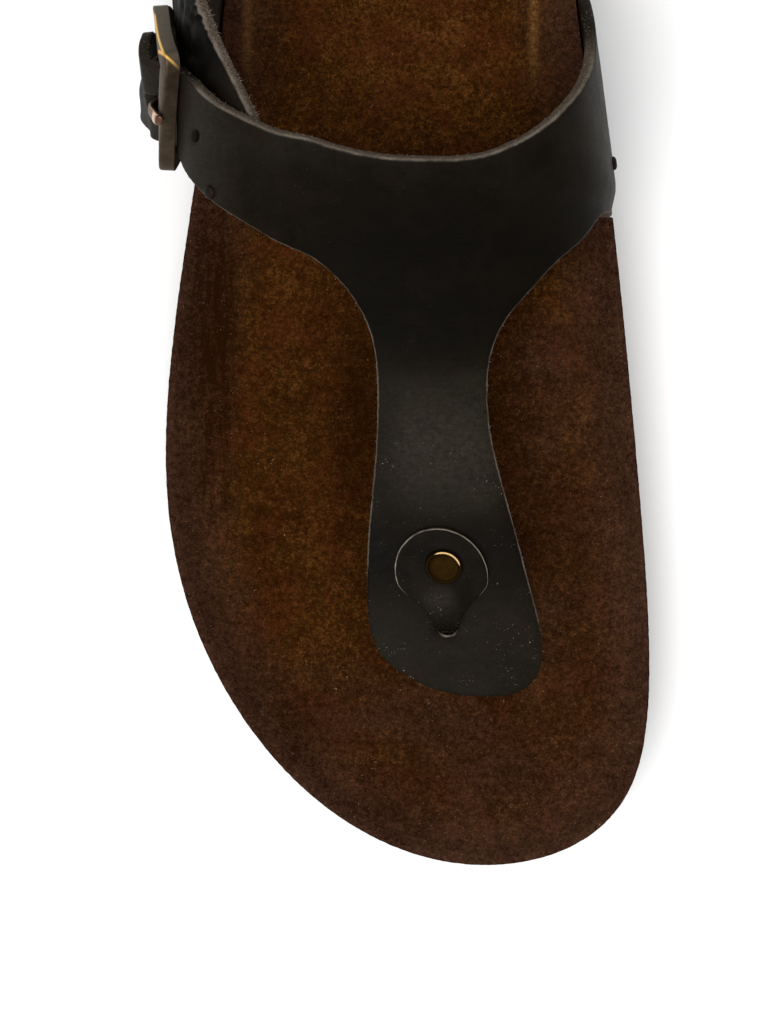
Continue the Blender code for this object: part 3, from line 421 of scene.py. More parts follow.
def shell(name, outline, holes, net, place, levels, finish, replaced, rough=0.0, extra=None):
    # a closed sheet with worked edges; levels run from its face to its back: inset, lift, share of cut edge
    loops = [outline if turnsLeft(outline) else outline[::-1]]
    loops += [hole[::-1] if turnsLeft(hole) else hole for hole in holes]

    def ringAt(inset):
        return np.vstack([insetLoop(loop, inset) for loop in loops])

    face, *inner = [insetLoop(loop, levels[0][0]) for loop in loops]
    flat, faces = fillOutline(face, net, inner)
    starts = np.append(0, np.cumsum([len(loop) for loop in loops]))
    total, size, last = starts[-1], len(flat), len(levels) - 1
    allFaces = [tuple(f) for f in faces]
    pattern, lifts, cuts = [flat], [np.full(size, levels[0][1])], [levels[0][2] * (np.arange(size) < total)]
    above, here = 0, size
    for level, (inset, lift, cut) in enumerate(levels[1:], 1):
        ring = ringAt(inset)
        if rough and level < last:
            shake = np.array([noise.noise(Vector((p[0] * 0.9, p[1] * 0.9, lift * 1.3))) for p in ring])
            ring = ring + (ringAt(inset + 1.0) - ring) * (shake * rough)[:, None]
        if level == last:
            ring = np.vstack([ring, flat[total:]])
        for start, loop in zip(starts, loops):
            allFaces += ladder(above + start, here + start, len(loop))
        pattern.append(ring)
        lifts.append(np.full(len(ring), lift))
        cuts.append(np.full(len(ring), cut))
        above, here = here, here + len(ring)
    allFaces += [tuple(above + i for i in f[::-1]) for f in faces]
    pattern, lift = np.vstack(pattern), np.concatenate(lifts)
    values = {"cutEdge": np.concatenate(cuts)}
    if extra:
        values.update(extra(pattern))
    return makePiece(name, place(pattern, lift), allFaces, finish, replaced, values, pattern)


def newFinish(name):        # the node functions below work in the tree that was made last
    global tree
    finish = bpy.data.materials.new(name)
    finish.use_nodes = True
    tree = finish.node_tree
    return finish, tree.nodes["Principled BSDF"]


def feed(node, inputs):
    for key, value in inputs.items():
        if isinstance(value, bpy.types.NodeSocket):
            tree.links.new(value, node.inputs[key])
        else:
            node.inputs[key].default_value = value
    return node


def addNode(kind, inputs=None, **settings):
    made = tree.nodes.new(kind)
    for key, value in settings.items():
        setattr(made, key, value)
    return feed(made, inputs or {})


def places(scale=(1, 1, 1), turn=(0, 0, 0)):      # object coordinates in millimetres
    source = addNode("ShaderNodeTexCoord").outputs["Object"]
    size = tuple(1000 * s for s in scale)
    return addNode("ShaderNodeMapping", {"Vector": source, "Scale": size, "Rotation": turn}).outputs["Vector"]


def noiseOf(where, size, detail=4.0, roughness=0.6, distortion=0.0):
    return addNode("ShaderNodeTexNoise", {"Vector": where, "Scale": 1 / size, "Detail": detail,
                                          "Roughness": roughness, "Distortion": distortion}).outputs["Fac"]


def cellsOf(where, size, feature="F1"):
    return addNode("ShaderNodeTexVoronoi", {"Vector": where, "Scale": 1 / size}, feature=feature)


def rgba(colour):
    return (*colour, 1) if isinstance(colour, tuple) else colour


def ramp(value, *stops):
    made = addNode("ShaderNodeValToRGB", {"Fac": value})
    band = made.color_ramp
    while len(band.elements) < len(stops):
        band.elements.new(0.5)
    for element, (at, colour) in zip(band.elements, stops):
        element.position = at
        element.color = rgba(colour if isinstance(colour, tuple) else (colour, colour, colour))
    return made.outputs["Color"]


def mix(share, first, second, blend="MIX"):
    return addNode("ShaderNodeMix", {0: share, 6: rgba(first), 7: rgba(second)}, data_type="RGBA",
                   blend_type=blend).outputs[2]


def maths(operation, *values):
    return addNode("ShaderNodeMath", dict(enumerate(values)), operation=operation).outputs[0]


def times(first, second):
    return maths("MULTIPLY", first, second)


def timesPlus(first, second, third):
    return maths("MULTIPLY_ADD", first, second, third)


def lowest(value, limit):
    return maths("MINIMUM", value, limit)


def highest(value, limit):
    return maths("MAXIMUM", value, limit)


def blendOf(*parts):      # weighted sum of values
    total = times(*parts[0])
    for value, weight in parts[1:]:
        total = timesPlus(value, weight, total)
    return total


def valueOf(name):
    return addNode("ShaderNodeAttribute", attribute_name=name).outputs["Fac"]


def bumps(shader, *layers):       # height, strength, depth in millimetres
    normal = None
    for height, strength, depth in layers:
        inputs = {"Height": height, "Strength": strength, "Distance": depth * mm}
        if normal is not None:
            inputs["Normal"] = normal
        normal = addNode("ShaderNodeBump", inputs).outputs["Normal"]
    feed(shader, {"Normal": normal})


def lintOf(where, size, patch, amount):       # small pale specks, lying in loose clusters
    fine = noiseOf(where, size, 2, 0.5)
    cluster = noiseOf(where, patch, 3, 0.6)
    dots = ramp(fine, (0.73 - amount, 0.0), (0.80 - amount, 1.0))
    return times(dots, ramp(cluster, (0.50, 0.0), (0.66, 1.0)))


suedeLook = {
    "deep": (0.0132, 0.0036, 0.0004), "brown": (0.0255, 0.0091, 0.0020), "warm": (0.061, 0.0214, 0.0040),
    "bright": (0.145, 0.060, 0.019), "umber": (0.0132, 0.0050, 0.0024), "plum": (0.048, 0.0225, 0.0145),
    "rust": (0.052, 0.0140, 0.0044), "rubbed": (0.17, 0.080, 0.022), "speck": (0.34, 0.21, 0.12),
    "mottle": 22.0, "patch": 5.0, "tuft": 1.2, "nap": 0.5, "rustSize": 13.0, "streak": 1.5,
    "warmthAndLightPlaces": [     # x, y, reach across, reach along, how much warmer; below 0 darker: the row at (-9, -42) is painted shade beside the strap's neck, and (32, -84) painted light in the shadow beside the tongue
        (-24, -17, 9, 13, 0.6), (-21, -49, 9, 11, 0.5), (-17, -77, 8, 13, 0.8), (0, -105, 15, 7, 0.1),
        (36, -14, 7, 11, 0.6), (40, -42, 8, 14, 0.3), (5, 35, 40, 24, 1.3), (-41, -22, 5, 30, -1.6),
        (-9, -42, 5, 24, -1.3), (25, -58, 5, 18, 0.3), (32, -84, 5, 18, 1.0), (-37, -62, 6, 15, 0.7),
        (27, -134, 20, 8, 0.5), (50, -80, 5, 26, 0.8), (24, -120, 14, 8, -0.8), (-26, -110, 9, 9, -0.8),
        (41, -68, 6, 13, -0.4)],
}


def makeSuedeFinish():
    look = suedeLook
    finish, shader = newFinish("napSuede")
    where = places()
    mottle = noiseOf(where, look["mottle"], 3, 0.55, 0.5)
    patch = noiseOf(where, look["patch"], 5, 0.7, 0.3)
    tuft = noiseOf(where, look["tuft"], 3, 0.7)
    nap = noiseOf(where, look["nap"], 3, 0.8)
    grain = blendOf((mottle, 0.10), (patch, 0.22), (tuft, 0.36), (nap, 0.46))
    streaks = noiseOf(places((1.0, 0.10, 1.0)), look["streak"], 3, 0.65)
    furrow = times(valueOf("folds"), ramp(streaks, (0.42, 0.0), (0.62, 1.0)))
    # the warmer patches also carry painted shade beside the strap's neck and painted light beside the tongue
    tone = timesPlus(valueOf("warmth"), 0.05, grain)
    tone = timesPlus(furrow, -0.10, tone)
    colour = ramp(tone, (0.46, look["deep"]), (0.585, look["brown"]), (0.67, look["warm"]),
                  (0.81, look["bright"]))
    rusty = ramp(noiseOf(where, look["rustSize"], 5, 0.7, 0.6), (0.46, 0.0), (0.58, 0.70))
    fibre = ramp(tone, (0.48, 0.0), (0.68, 1.0))
    colour = mix(rusty, colour, mix(fibre, look["deep"], look["rust"]))
    byRim = timesPlus(patch, 0.16, maths("DIVIDE", valueOf("rimDistance"), 50.0))
    shade = ramp(byRim, (0.10, 0.85), (0.20, 0.60), (0.42, 0.0))
    muted = times(valueOf("muted"), ramp(mottle, (0.38, 0.35), (0.62, 1.0)))
    colour = mix(highest(shade, muted), colour, mix(fibre, look["umber"], look["plum"]))
    worn = times(valueOf("rubbed"), ramp(nap, (0.35, 0.2), (0.65, 1.0)))
    colour = mix(worn, colour, look["rubbed"])
    colour = mix(times(lintOf(where, 0.45, 9.0, 0.035), 0.8), colour, look["speck"])
    feed(shader, {"Base Color": colour, "Roughness": 1.0, "Specular IOR Level": 0.0})
    bumps(shader, (patch, 0.35, 0.5), (tuft, 0.55, 0.35), (nap, 0.8, 0.25))
    return finish


leatherLook = {
    "dark": (0.0039, 0.0027, 0.0011), "faded": (0.0150, 0.0121, 0.0078), "paintedSheen": (0.038, 0.032, 0.025),
    "brown": (0.0085, 0.0050, 0.0028), "shaded": (0.0006, 0.0004, 0.0003), "speck": (0.27, 0.24, 0.19),
    "cut": (0.085, 0.066, 0.048), "cutDeep": (0.018, 0.013, 0.010), "burnishAndHighlight": (0.33, 0.29, 0.235),
    "tone": 26.0, "haze": 5.0, "russet": 8.0, "pore": 0.62,
}


def makeLeatherFinish(name, faded=0.5, burnishAndHighlight=0.4):
    look = leatherLook
    finish, shader = newFinish(name)
    where = places()
    tone = noiseOf(where, look["tone"], 3, 0.5, 0.4)
    haze = noiseOf(where, look["haze"], 6, 0.65, 0.2)
    fine = noiseOf(where, 0.5, 4, 0.7)
    lines = noiseOf(places((0.16, 1.3, 0.5), (0, 0, 0.12)), 1.4, 4, 0.65, 0.8)
    crease = ramp(lines, (0.44, 0.0), (0.495, 1.0), (0.55, 0.0))
    body = blendOf((tone, 0.55), (haze, 0.40), (fine, 0.22), (crease, 0.03))
    fade, hush, cut = valueOf("fade"), valueOf("hush"), valueOf("cutEdge")
    # painted highlights lift the colour towards the pale tone, on top of the leather's random tone
    pale = timesPlus(fade, ramp(haze, (0.34, 0.4), (0.64, 1.0)), ramp(body, (0.50, 0.0), (0.82, faded)))
    colour = mix(lowest(pale, 1.0), look["dark"], look["faded"])
    russet = ramp(noiseOf(where, look["russet"], 4, 0.7, 0.5), (0.47, 0.0), (0.66, 0.55))
    colour = mix(russet, colour, look["brown"])
    # painted sheen: pale streaks of reflected light, stronger on the strap's painted highlights
    graze = noiseOf(places((0.8, 1.2, 1.0)), 1.1, 5, 0.85, 0.3)
    paintedSheen = times(ramp(graze, (0.39, 0.05), (0.75, 0.74)), timesPlus(fade, 1.5, 0.15))
    colour = mix(highest(lowest(paintedSheen, 1.0), 0.0), colour, look["paintedSheen"])
    colour = mix(times(lintOf(where, 0.34, 5.5, 0.055), valueOf("dusty")), colour, look["speck"])
    # painted shade: below 0 the same attribute darkens the colour towards the shaded tone
    colour = mix(lowest(highest(times(fade, -2.0), 0.0), 0.8), colour, look["shaded"])
    fibre = noiseOf(where, 0.35, 5, 0.8)
    cutColour = mix(ramp(fibre, (0.38, 0.0), (0.62, 1.0)), look["cutDeep"], look["cut"])
    cutShare = ramp(timesPlus(fibre, 0.35, maths("SUBTRACT", cut, 0.18)), (0.35, 0.0), (0.62, 1.0))
    # painted shade: dims the pale cut edges where they lie out of the light
    cutShare = lowest(highest(times(cutShare, timesPlus(hush, -0.92, 1.0)), 0.0), 1.0)
    colour = mix(cutShare, colour, cutColour)
    # the pale rim along the top of the cut edges: part burnish, part painted highlight of the rounded edge
    broken = ramp(noiseOf(where, 5.0, 4, 0.6), (0.40, 0.25), (0.62, 1.0))
    rub = times(ramp(cut, (0.10, 0.0), (0.40, 1.0), (0.90, 1.0), (1.0, 0.0)), broken)
    rub = times(rub, maths("SUBTRACT", burnishAndHighlight, hush))
    colour = mix(lowest(highest(rub, 0.0), 1.0), colour, look["burnishAndHighlight"])
    rough = blendOf((haze, 0.30), (crease, 0.05), (cutShare, 0.35))
    rough = lowest(maths("ADD", rough, 0.34), 0.95)
    feed(shader, {"Base Color": colour, "Roughness": rough, "Specular IOR Level": 0.03})
    pores = cellsOf(where, look["pore"]).outputs["Distance"]
    bumps(shader, (lines, 0.12, 0.5), (pores, 0.10, 0.14), (fine, 0.16, 0.1), (fibre, 0.12, 0.1))
    return finish


corkLook = {
    "tan": (0.36, 0.205, 0.095), "pale": (0.47, 0.29, 0.15), "brown": (0.185, 0.092, 0.042),
    "bark": (0.075, 0.036, 0.018), "grain": 2.0, "crumb": 0.8, "warp": 0.8,
}


def makeCorkFinish():
    look = corkLook
    finish, shader = newFinish("pressedCork")
    where = places()
    bent = addNode("ShaderNodeTexNoise", {"Vector": where, "Scale": look["warp"], "Detail": 4.0})
    warped = addNode("ShaderNodeVectorMath", {0: where, 1: bent.outputs["Color"]}, operation="ADD").outputs[0]
    border = cellsOf(warped, look["grain"], "DISTANCE_TO_EDGE").outputs["Distance"]
    grain, crumb = (
        addNode("ShaderNodeSeparateColor", {"Color": cellsOf(warped, look[size]).outputs["Color"]}).outputs
        for size in ("grain", "crumb"))
    colour = ramp(grain[0], (0.0, look["brown"]), (0.25, look["tan"]), (1.0, look["pale"]))
    colour = mix(ramp(crumb[1], (0.55, 0.0), (0.8, 0.55)), colour, look["tan"])
    colour = mix(ramp(grain[1], (0.85, 0.0), (0.93, 0.8)), colour, look["bark"])
    colour = mix(ramp(crumb[2], (0.90, 0.0), (0.92, 0.85)), colour, look["bark"])
    colour = mix(ramp(border, (0.0, 0.45), (0.09, 0.0)), colour, look["brown"])
    fine = noiseOf(where, 0.5, 4, 0.7)
    colour = mix(0.35, colour, mix(fine, look["brown"], look["pale"]), "MULTIPLY")
    feed(shader, {"Base Color": colour, "Roughness": 0.7, "Coat Weight": 0.25, "Coat Roughness": 0.35})
    bumps(shader, (border, 0.4, 0.4), (fine, 0.25, 0.2))
    return finish


evaLook = {"base": (0.0125, 0.0100, 0.0085), "scuffed": (0.030, 0.026, 0.023), "stipple": 0.9}


def makeEvaFinish():
    look = evaLook
    finish, shader = newFinish("mouldedEva")
    where = places()
    cloud = noiseOf(where, 14.0, 5, 0.6)
    scuff = noiseOf(where, 1.6, 6, 0.75)
    share = ramp(blendOf((cloud, 0.5), (scuff, 0.5)), (0.48, 0.0), (0.70, 0.8))
    feed(shader, {"Base Color": mix(share, look["base"], look["scuffed"]),
                  "Roughness": timesPlus(scuff, 0.3, 0.55), "Specular IOR Level": 0.3})
    stipple = cellsOf(where, look["stipple"], "SMOOTH_F1").outputs["Distance"]
    bumps(shader, (stipple, 0.3, 0.2), (scuff, 0.2, 0.15))
    return finish


metalLook = {
    # pale tint painted on the rear bar as its reflection of the light
    "paintedReflection": (0.100, 0.083, 0.058),
    "bronze": {"base": (0.088, 0.063, 0.042), "worn": (0.66, 0.40, 0.10),
               "dark": (0.054, 0.038, 0.025), "rough": 0.46},
    "blackened": {"base": (0.020, 0.016, 0.012), "worn": (0.10, 0.08, 0.05),
                  "dark": (0.008, 0.006, 0.005), "rough": 0.5},
    "copper": {"base": (0.17, 0.085, 0.050), "worn": (0.62, 0.42, 0.30),
               "dark": (0.04, 0.022, 0.016), "rough": 0.34},
    "brass": {"base": (0.0150, 0.0078, 0.0016), "worn": (0.50, 0.33, 0.14),
              "dark": (0.0095, 0.0050, 0.0011), "rough": 0.42},
}


def makeMetalFinish(name, look, scratch=(1, 1, 1)):
    finish, shader = newFinish(name)
    where = places()
    cloud = noiseOf(where, 2.6, 5, 0.65, 0.3)
    fine = noiseOf(where, 0.22, 4, 0.7)
    lines = noiseOf(places(scratch), 0.5, 3, 0.6)
    colour = mix(ramp(cloud, (0.35, 0.0), (0.65, 1.0)), look["dark"], look["base"])
    worn = ramp(blendOf((valueOf("worn"), 1.0), (fine, 0.25), (cloud, 0.15)), (0.55, 0.0), (1.05, 1.0))
    joint = ramp(maths("ABSOLUTE", valueOf("mitreSide")), (0.13, 1.0), (0.42, 0.0))
    worn = highest(worn, times(joint, valueOf("mitred")))
    # painted reflection: the rear bar paler, as if tilted up to the light
    paintedReflection = times(valueOf("paintedReflection"), ramp(cloud, (0.2, 0.55), (0.7, 1.0)))
    colour = mix(worn, mix(paintedReflection, colour, metalLook["paintedReflection"]), look["worn"])
    rough = blendOf((fine, 0.22), (worn, -0.10), (lines, 0.10))
    feed(shader, {"Base Color": colour, "Metallic": 1.0, "Roughness": maths("ADD", rough, look["rough"])})
    bumps(shader, (cloud, 0.15, 0.2), (lines, 0.10, 0.06), (fine, 0.12, 0.04))
    return finish


suede, cork, eva = makeSuedeFinish(), makeCorkFinish(), makeEvaFinish()
strapLeather = makeLeatherFinish("oiledLeather", 0.60, 0.20)
tabLeather = makeLeatherFinish("tabLeather", 0.30, 0.85)
bronze = makeMetalFinish("antiqueBronze", metalLook["bronze"], (0.3, 3, 1))
copper = makeMetalFinish("copperProng", metalLook["copper"])
brass = makeMetalFinish("agedBrass", metalLook["brass"], (1, 4, 1))
blackened = makeMetalFinish("blackenedBronze", metalLook["blackened"])
print("finishes ready")

strap = {       # the leather pattern, laid on the form: u across it from its crest, v along Y
    "leather": 2.6, "armU": -62.0, "armV": 23.8, "armAngle": math.radians(22.0), "armWidth": 18.0,
    "armFrom": -6.0, "armEnd": 28.0, "armCorners": (5.0, 8.0), "armFlare": (1.4, 2.3), "flareFrom": 7.0,
    "openHoleT": -11.5, "openHoleW": -0.8, "holeRadius": 1.15,
    "prongHoleT": 8.2, "prongHoleLength": 5.8, "prongHoleWidth": 4.2, "baseTabEnd": 24.0,
}
post = {
    "u": -1.3, "v": -86.8, "width": 8.0, "depth": 4.4, "root": 13.0, "neck": 4.0, "strip": 1.8,
    "teardropRadius": 9.9, "teardropReach": 12.1, "tabTurn": -0.02, "rivetRun": 13.8, "rivetShift": 0.6,
    "dent": 0.9, "dentSize": (7, 4.5),
}
anchor = lifted([post["u"]], [post["v"]], [-3.0])[0]
footbedSizes = {
    "netSpacing": 1.45, "edgeCount": 900, "relief": 0.10, "edgeRough": 0.10, "slotRoom": 0.3,
    "lateralFold": {"x": -33.0, "slant": 0.01, "from": 30, "rise": 10, "to": 75, "share": 0.65},
    "medialFold": {"x": 30.0, "slant": -0.02, "from": 28, "rise": 12, "to": 70, "share": 0.85},
    "foldDepth": 0.25, "foldWidth": 0.75, "foldSlantFrom": 40, "foldFade": 20,
    "graze": 0.42, "grazeAt": (41.8, -40), "grazeSlant": 0.25, "grazeSize": (0.42, 2.8),
    "streaksAt": -40, "streaksWidth": 4.2, "streaksFrom": (-75, 20), "streaksTo": (10, 20),
    "muted": 0.50, "mutedToe": (-88, 22), "beside": 0.9, "besideX": (18, 12), "besideY": (-8, 20),
}


def hills(x, y, rows):      # rows: x, y, reach across, reach along, height
    return sum(height * hill(x - a, y - b, across, along) for a, b, across, along, height in rows)


def wornFold(x, y, fold):   # a line where the suede is worn pale
    sizes = footbedSizes
    line = bell(x - fold["x"] - fold["slant"] * (y - sizes["foldSlantFrom"]), sizes["foldWidth"])
    line *= rising(y, fold["from"], fold["rise"]) * falling(y, fold["to"], sizes["foldFade"])
    return fold["share"] * line


def footbedExtra(points):
    sizes, (x, y) = footbedSizes, points.T
    folded = wornFold(x, y, sizes["lateralFold"]) + wornFold(x, y, sizes["medialFold"])
    across, along = x - sizes["grazeAt"][0], y - sizes["grazeAt"][1]
    graze = sizes["graze"] * hill(across - sizes["grazeSlant"] * along, along, *sizes["grazeSize"])
    streaks = falling(y, *sizes["streaksTo"]) * rising(y, *sizes["streaksFrom"])
    beside = sizes["beside"] * rising(x, *sizes["besideX"]) * falling(y, *sizes["besideY"])
    return {"rimDistance": distanceTo(rimOutline, points), "rubbed": folded + graze,
            "folds": bell(x - sizes["streaksAt"], sizes["streaksWidth"]) * streaks,
            "muted": sizes["muted"] * np.maximum(falling(y, *sizes["mutedToe"]), beside),
            "warmth": hills(x, y, suedeLook["warmthAndLightPlaces"])}


def placeFootbed(points, lift):
    dent = post["dent"] * hill(*(points - anchor[:2]).T, *post["dentSize"])
    relief = reliefOf(points, 6, 6, 0.3) * footbedSizes["relief"]
    fold = footbedSizes["foldDepth"] * footbedExtra(points)["rubbed"]
    top = footbedHeight(points) + (relief + fold) * (lift > -0.2) - dent
    return np.column_stack([points, top + lift])


thick, room = sole["suede"], footbedSizes["slotRoom"]
rimEdge = edgeLoop(0.0, footbedSizes["edgeCount"], letIn=True)
postSlot = ovalLoop(anchor[:2], post["width"] / 2 + room + 0.5, post["depth"] / 2 + room + 0.3, 48, 2.6)
net = netInside(insetLoop(rimEdge, 1.4), footbedSizes["netSpacing"], 0.8, [postSlot])
footbedLevels = [(1.4, 0.0, 0), (0.9, -0.04, 0), (0.5, -0.15, 0), (0.2, -0.35, 0), (0.03, -0.65, 0),
                 (0.0, -1.0, 0), (0.05, -thick + 0.2, 0), (0.3, -thick, 0)]
footbedSuede = shell("footbedSuede", rimEdge, [postSlot], net, placeFootbed, footbedLevels, suede,
                     ["suede_insole"], footbedSizes["edgeRough"], footbedExtra)

corkSizes = {"edgeCount": 980, "rows": 21, "grain": 2.4, "relief": 0.22, "knob": 0.10, "pocketRoom": 0.3}


def buildCork():
    count, rows = corkSizes["edgeCount"], corkSizes["rows"]
    top, foot = edgeLoop(0.0, count, letIn=True), edgeLoop(sole["sideTaper"], count, letIn=True)
    topZ = corkTop(edgeLoop(sole["rimTop"], count, letIn=True))
    footZ = outsoleTop(foot[:, 1]) + sole["fitGap"]
    outwards = top - insetLoop(top, 1.0)
    verts = []
    for share in np.linspace(0, 1, rows):
        ring = np.column_stack([top + (foot - top) * share, topZ + (footZ - topZ) * share])
        if 0 < share < 1:
            for p, n in zip(ring, outwards):
                near, points = noise.voronoi(Vector(p) / corkSizes["grain"])
                crack = min(1.0, (near[1] - near[0]) * 3.0)
                knob = noise.noise(Vector(points[0]) * 5.3)
                p[:2] += n * (corkSizes["relief"] * (crack - 1.0) + corkSizes["knob"] * knob)
        verts += list(ring)
    faces, room = ladders(rows, count), corkSizes["pocketRoom"]
    pocket = ovalLoop(anchor[:2], post["width"] / 2 + room, post["depth"] / 2 + room, 24, 4.0)
    here = len(verts)
    addCap(verts, faces, 0, top, netInside(edgeLoop(8.0, 200), 6.0, 2.0, [pocket]), corkTop, [pocket])
    wall = len(verts)
    verts += [(*p, post["root"] - room) for p in (*pocket, anchor[:2])]
    faces += ladder(here, wall, len(pocket)) + fan(wall, len(pocket), wall + len(pocket))
    addCap(verts, faces, (rows - 1) * count, foot, netInside(edgeLoop(10.0, 200), 9.0, 2.0),
           lambda flat: outsoleTop(flat[:, 1]) + sole["fitGap"])
    return makePiece("corkSide", verts, faces, cork, ["cork_footbed"], smoothAngle=60)


buildCork()

treadSizes = {
    "width": 2.6, "depth": 2.2, "draft": 0.45, "pitch": 13.0, "share": 0.72, "wave": 2.5, "bend": 3,
    "bands": ((-112.0, -86.0), (-38.0, 1.0), (40.0, 66.0), (106.0, 106.0)),
    "lineStep": 0.9, "edgeCount": 640, "netSpacing": 3.4, "bottomInset": 3.0,
    "side": (       # share of the height from the top, inset
        (0.0, 0.25), (0.03, 0.02), (0.06, 0.0), (0.32, 0.3), (0.36, 0.4), (0.40, 1.1), (0.45, 1.3),
        (0.50, 1.2), (0.55, 0.6), (0.60, 0.5), (0.85, 1.05), (0.93, 1.5), (0.98, 2.1)),
}
grooveRows = np.concatenate([np.arange(first, last + 0.1, treadSizes["pitch"])
                             for first, last in treadSizes["bands"]])


def waveAt(x, y):
    half = float(medialEdge(y) - lateralEdge(y)) * treadSizes["share"] / 2
    start = float(middleOf(y)) - half
    turn = 2 * math.pi * treadSizes["bend"] * (x - start) / (2 * half)
    return y + treadSizes["wave"] * np.cos(turn), start, half


def grooveLoop(y, halfWidth):
    _, start, half = waveAt(0.0, y)
    trim = treadSizes["width"] / 2 - halfWidth
    x = np.arange(start + trim, start + 2 * half - trim, treadSizes["lineStep"])
    line = waveAt(x, y)[0]
    return np.vstack([np.stack([x, line - halfWidth], 1), np.stack([x, line + halfWidth], 1)[::-1]])


def buildOutsole():
    count, side = treadSizes["edgeCount"], treadSizes["side"]
    verts, faces = [], ladders(len(side), count)
    loops = [edgeLoop(sole["outsoleInset"] + inset, count) for _, inset in side]
    for (share, _), loop in zip(side, loops):
        high, low = outsoleTop(loop[:, 1]), soleBottom(loop[:, 1])
        verts += [(*p, z) for p, z in zip(loop, high + (low - high) * share)]
    last = len(verts) - count
    addCap(verts, faces, 0, loops[0], netInside(edgeLoop(6.0, 200), 9.0, 3.0),
           lambda flat: outsoleTop(flat[:, 1]))
    outline = edgeLoop(treadSizes["bottomInset"], count)
    upper = [grooveLoop(y, treadSizes["width"] / 2) for y in grooveRows]
    lower = [grooveLoop(y, treadSizes["width"] / 2 - treadSizes["draft"]) for y in grooveRows]
    net = netInside(outline, treadSizes["netSpacing"], 1.6, upper)
    flat, cap = fillOutline(outline, net, [], upper + lower)
    z = soleBottom(flat[:, 1])
    for loop in lower:      # the floors of the grooves, with their edge points
        within = isInside(flat, insetLoop(loop, -0.05 if turnsLeft(loop) else 0.05))
        z = np.where(within, z + treadSizes["depth"], z)
    here = len(verts)
    verts += [(*p, h) for p, h in zip(flat, z)]
    faces += ladder(last, here, count) + [tuple(here + i for i in f) for f in cap]
    return makePiece("evaOutsole", verts, faces, eva, ["outsole"], smoothAngle=35)


buildOutsole()

# the pattern's edges, point by point: u, v
frontMedial = [(84, 3.5), (70, 3.55), (64, 3.5), (60.5, 2.4), (57, 2.0), (52, 2.2), (48, 2.4),
               (42, 1.5), (33, -4), (27, -8), (21.5, -13.5), (16, -20), (12.8, -27), (11.7, -35),
               (12.1, -45), (13.8, -55), (16, -67), (17.8, -80)]
tongueEnd = [(18.8, -92), (17, -98), (12.5, -101.3), (4, -102), (-4.5, -100.6), (-12, -96.8),
             (-16.7, -92), (-18, -86)]
frontLateral = [(-17.5, -78), (-15.6, -66), (-13.2, -53), (-11.8, -40), (-11.7, -30), (-13, -22.5),
                (-16.5, -15.5), (-22, -9.4), (-30, -4), (-38, 0.8), (-46, 5), (-51, 8)]
strapRear = [(-47, 26.2), (-38, 22), (-30, 18.6), (-20.5, 15.2), (-10, 13), (1, 12.5), (9, 13),
             (15, 14.8), (21.5, 18), (28, 22), (35, 26.4), (41, 30), (50, 35.5), (60, 41.5), (70, 47),
             (80, 51.5), (90, 55)]
baseRear = [(-35, 16), (-37.5, 20.5), (-40.5, 25.5), (-43.5, 30), (-47, 35), (-50.5, 40), (-55, 46),
            (-62, 51), (-72, 54), (-83, 56), (-94, 57)]
baseFront = [(-92, 17), (-78, 17), (-65, 15.5), (-54, 12), (-44, 8), (-36, 5.5)]
leatherSizes = {"edgeSpacing": 0.8, "netSpacing": 1.5, "relief": 0.07, "edgeRough": 0.13}
strapLifts = {      # over the base strap, over the loop on it, and the free end's twist
    "overBase": 9, "loop": (2.3, 8.2, 6.2), "end": (10, 18, 0.4), "twistFrom": 12, "twistOver": 12,
    "twist": (0.9, -0.24, 1.7), "ridgeAt": -2.0, "ridgeWidth": 5.5,
}


def armPattern(t, w):       # t down the buckle arm from the outer bar, w across it
    angle = strap["armAngle"]
    return (strap["armU"] - t * math.cos(angle) + w * math.sin(angle),
            strap["armV"] + t * math.sin(angle) + w * math.cos(angle))


def armPoints(t, w, lift):
    u, v = armPattern(np.asarray(t, float), np.asarray(w, float))
    return lifted(u, v, lift)


def strapLift(u, v):
    sizes, angle = strapLifts, strap["armAngle"]
    t = (strap["armU"] - u) * math.cos(angle) + (v - strap["armV"]) * math.sin(angle)
    w = (u - strap["armU"]) * math.sin(angle) + (v - strap["armV"]) * math.cos(angle)
    lift = (strap["leather"] + sole["fitGap"]) * falling(u, -strap["baseTabEnd"], sizes["overBase"])
    for start, over, height in (sizes["loop"], sizes["end"]):
        lift += height * rising(t, start, over)
    base, slope, ridge = sizes["twist"]
    twist = base + slope * np.clip(w, -11, 11) + ridge * bell(w - sizes["ridgeAt"], sizes["ridgeWidth"])
    return np.where(u > 0, 0.0, lift + twist * rising(t, sizes["twistFrom"], sizes["twistOver"]))


def strapOutline(spacing):
    half, end, start = strap["armWidth"] / 2, strap["armEnd"], strap["armFrom"]
    frontEdge = through(frontMedial + tongueEnd + frontLateral + [armPattern(start, -half)], spacing)
    frontEdge = frontEdge[frontEdge[:, 0] < footRun(medialFoot[0], 1) - spacing / 2]
    rearEdge = through([armPattern(start, half)] + strapRear, spacing)
    rearEdge = rearEdge[rearEdge[:, 0] < footRun(medialFoot[1], 1) - spacing / 2]
    front, back = strap["armCorners"]
    arm = [(t, -half) for t in np.arange(start + spacing, end - front, spacing)]
    arm += arc(end - front, front - half, front, -90, 0, 14) + arc(end - back, half - back, back, 0, 90, 14)
    arm += [(t, half) for t in np.arange(start + spacing, end - back, spacing)[::-1]]
    flare = [strap["armFlare"][int(w > 0)] * rising(t, strap["flareFrom"], 14) for t, w in arm]
    arm = [armPattern(t, w * (1 + f / half)) for (t, w), f in zip(arm, flare)]
    steps = round((medialFoot[1] - medialFoot[0]) / spacing) + 1
    foot = [(footRun(v, 1), v) for v in np.linspace(medialFoot[1], medialFoot[0], steps)]
    return np.vstack([frontEdge, arm, rearEdge, foot])


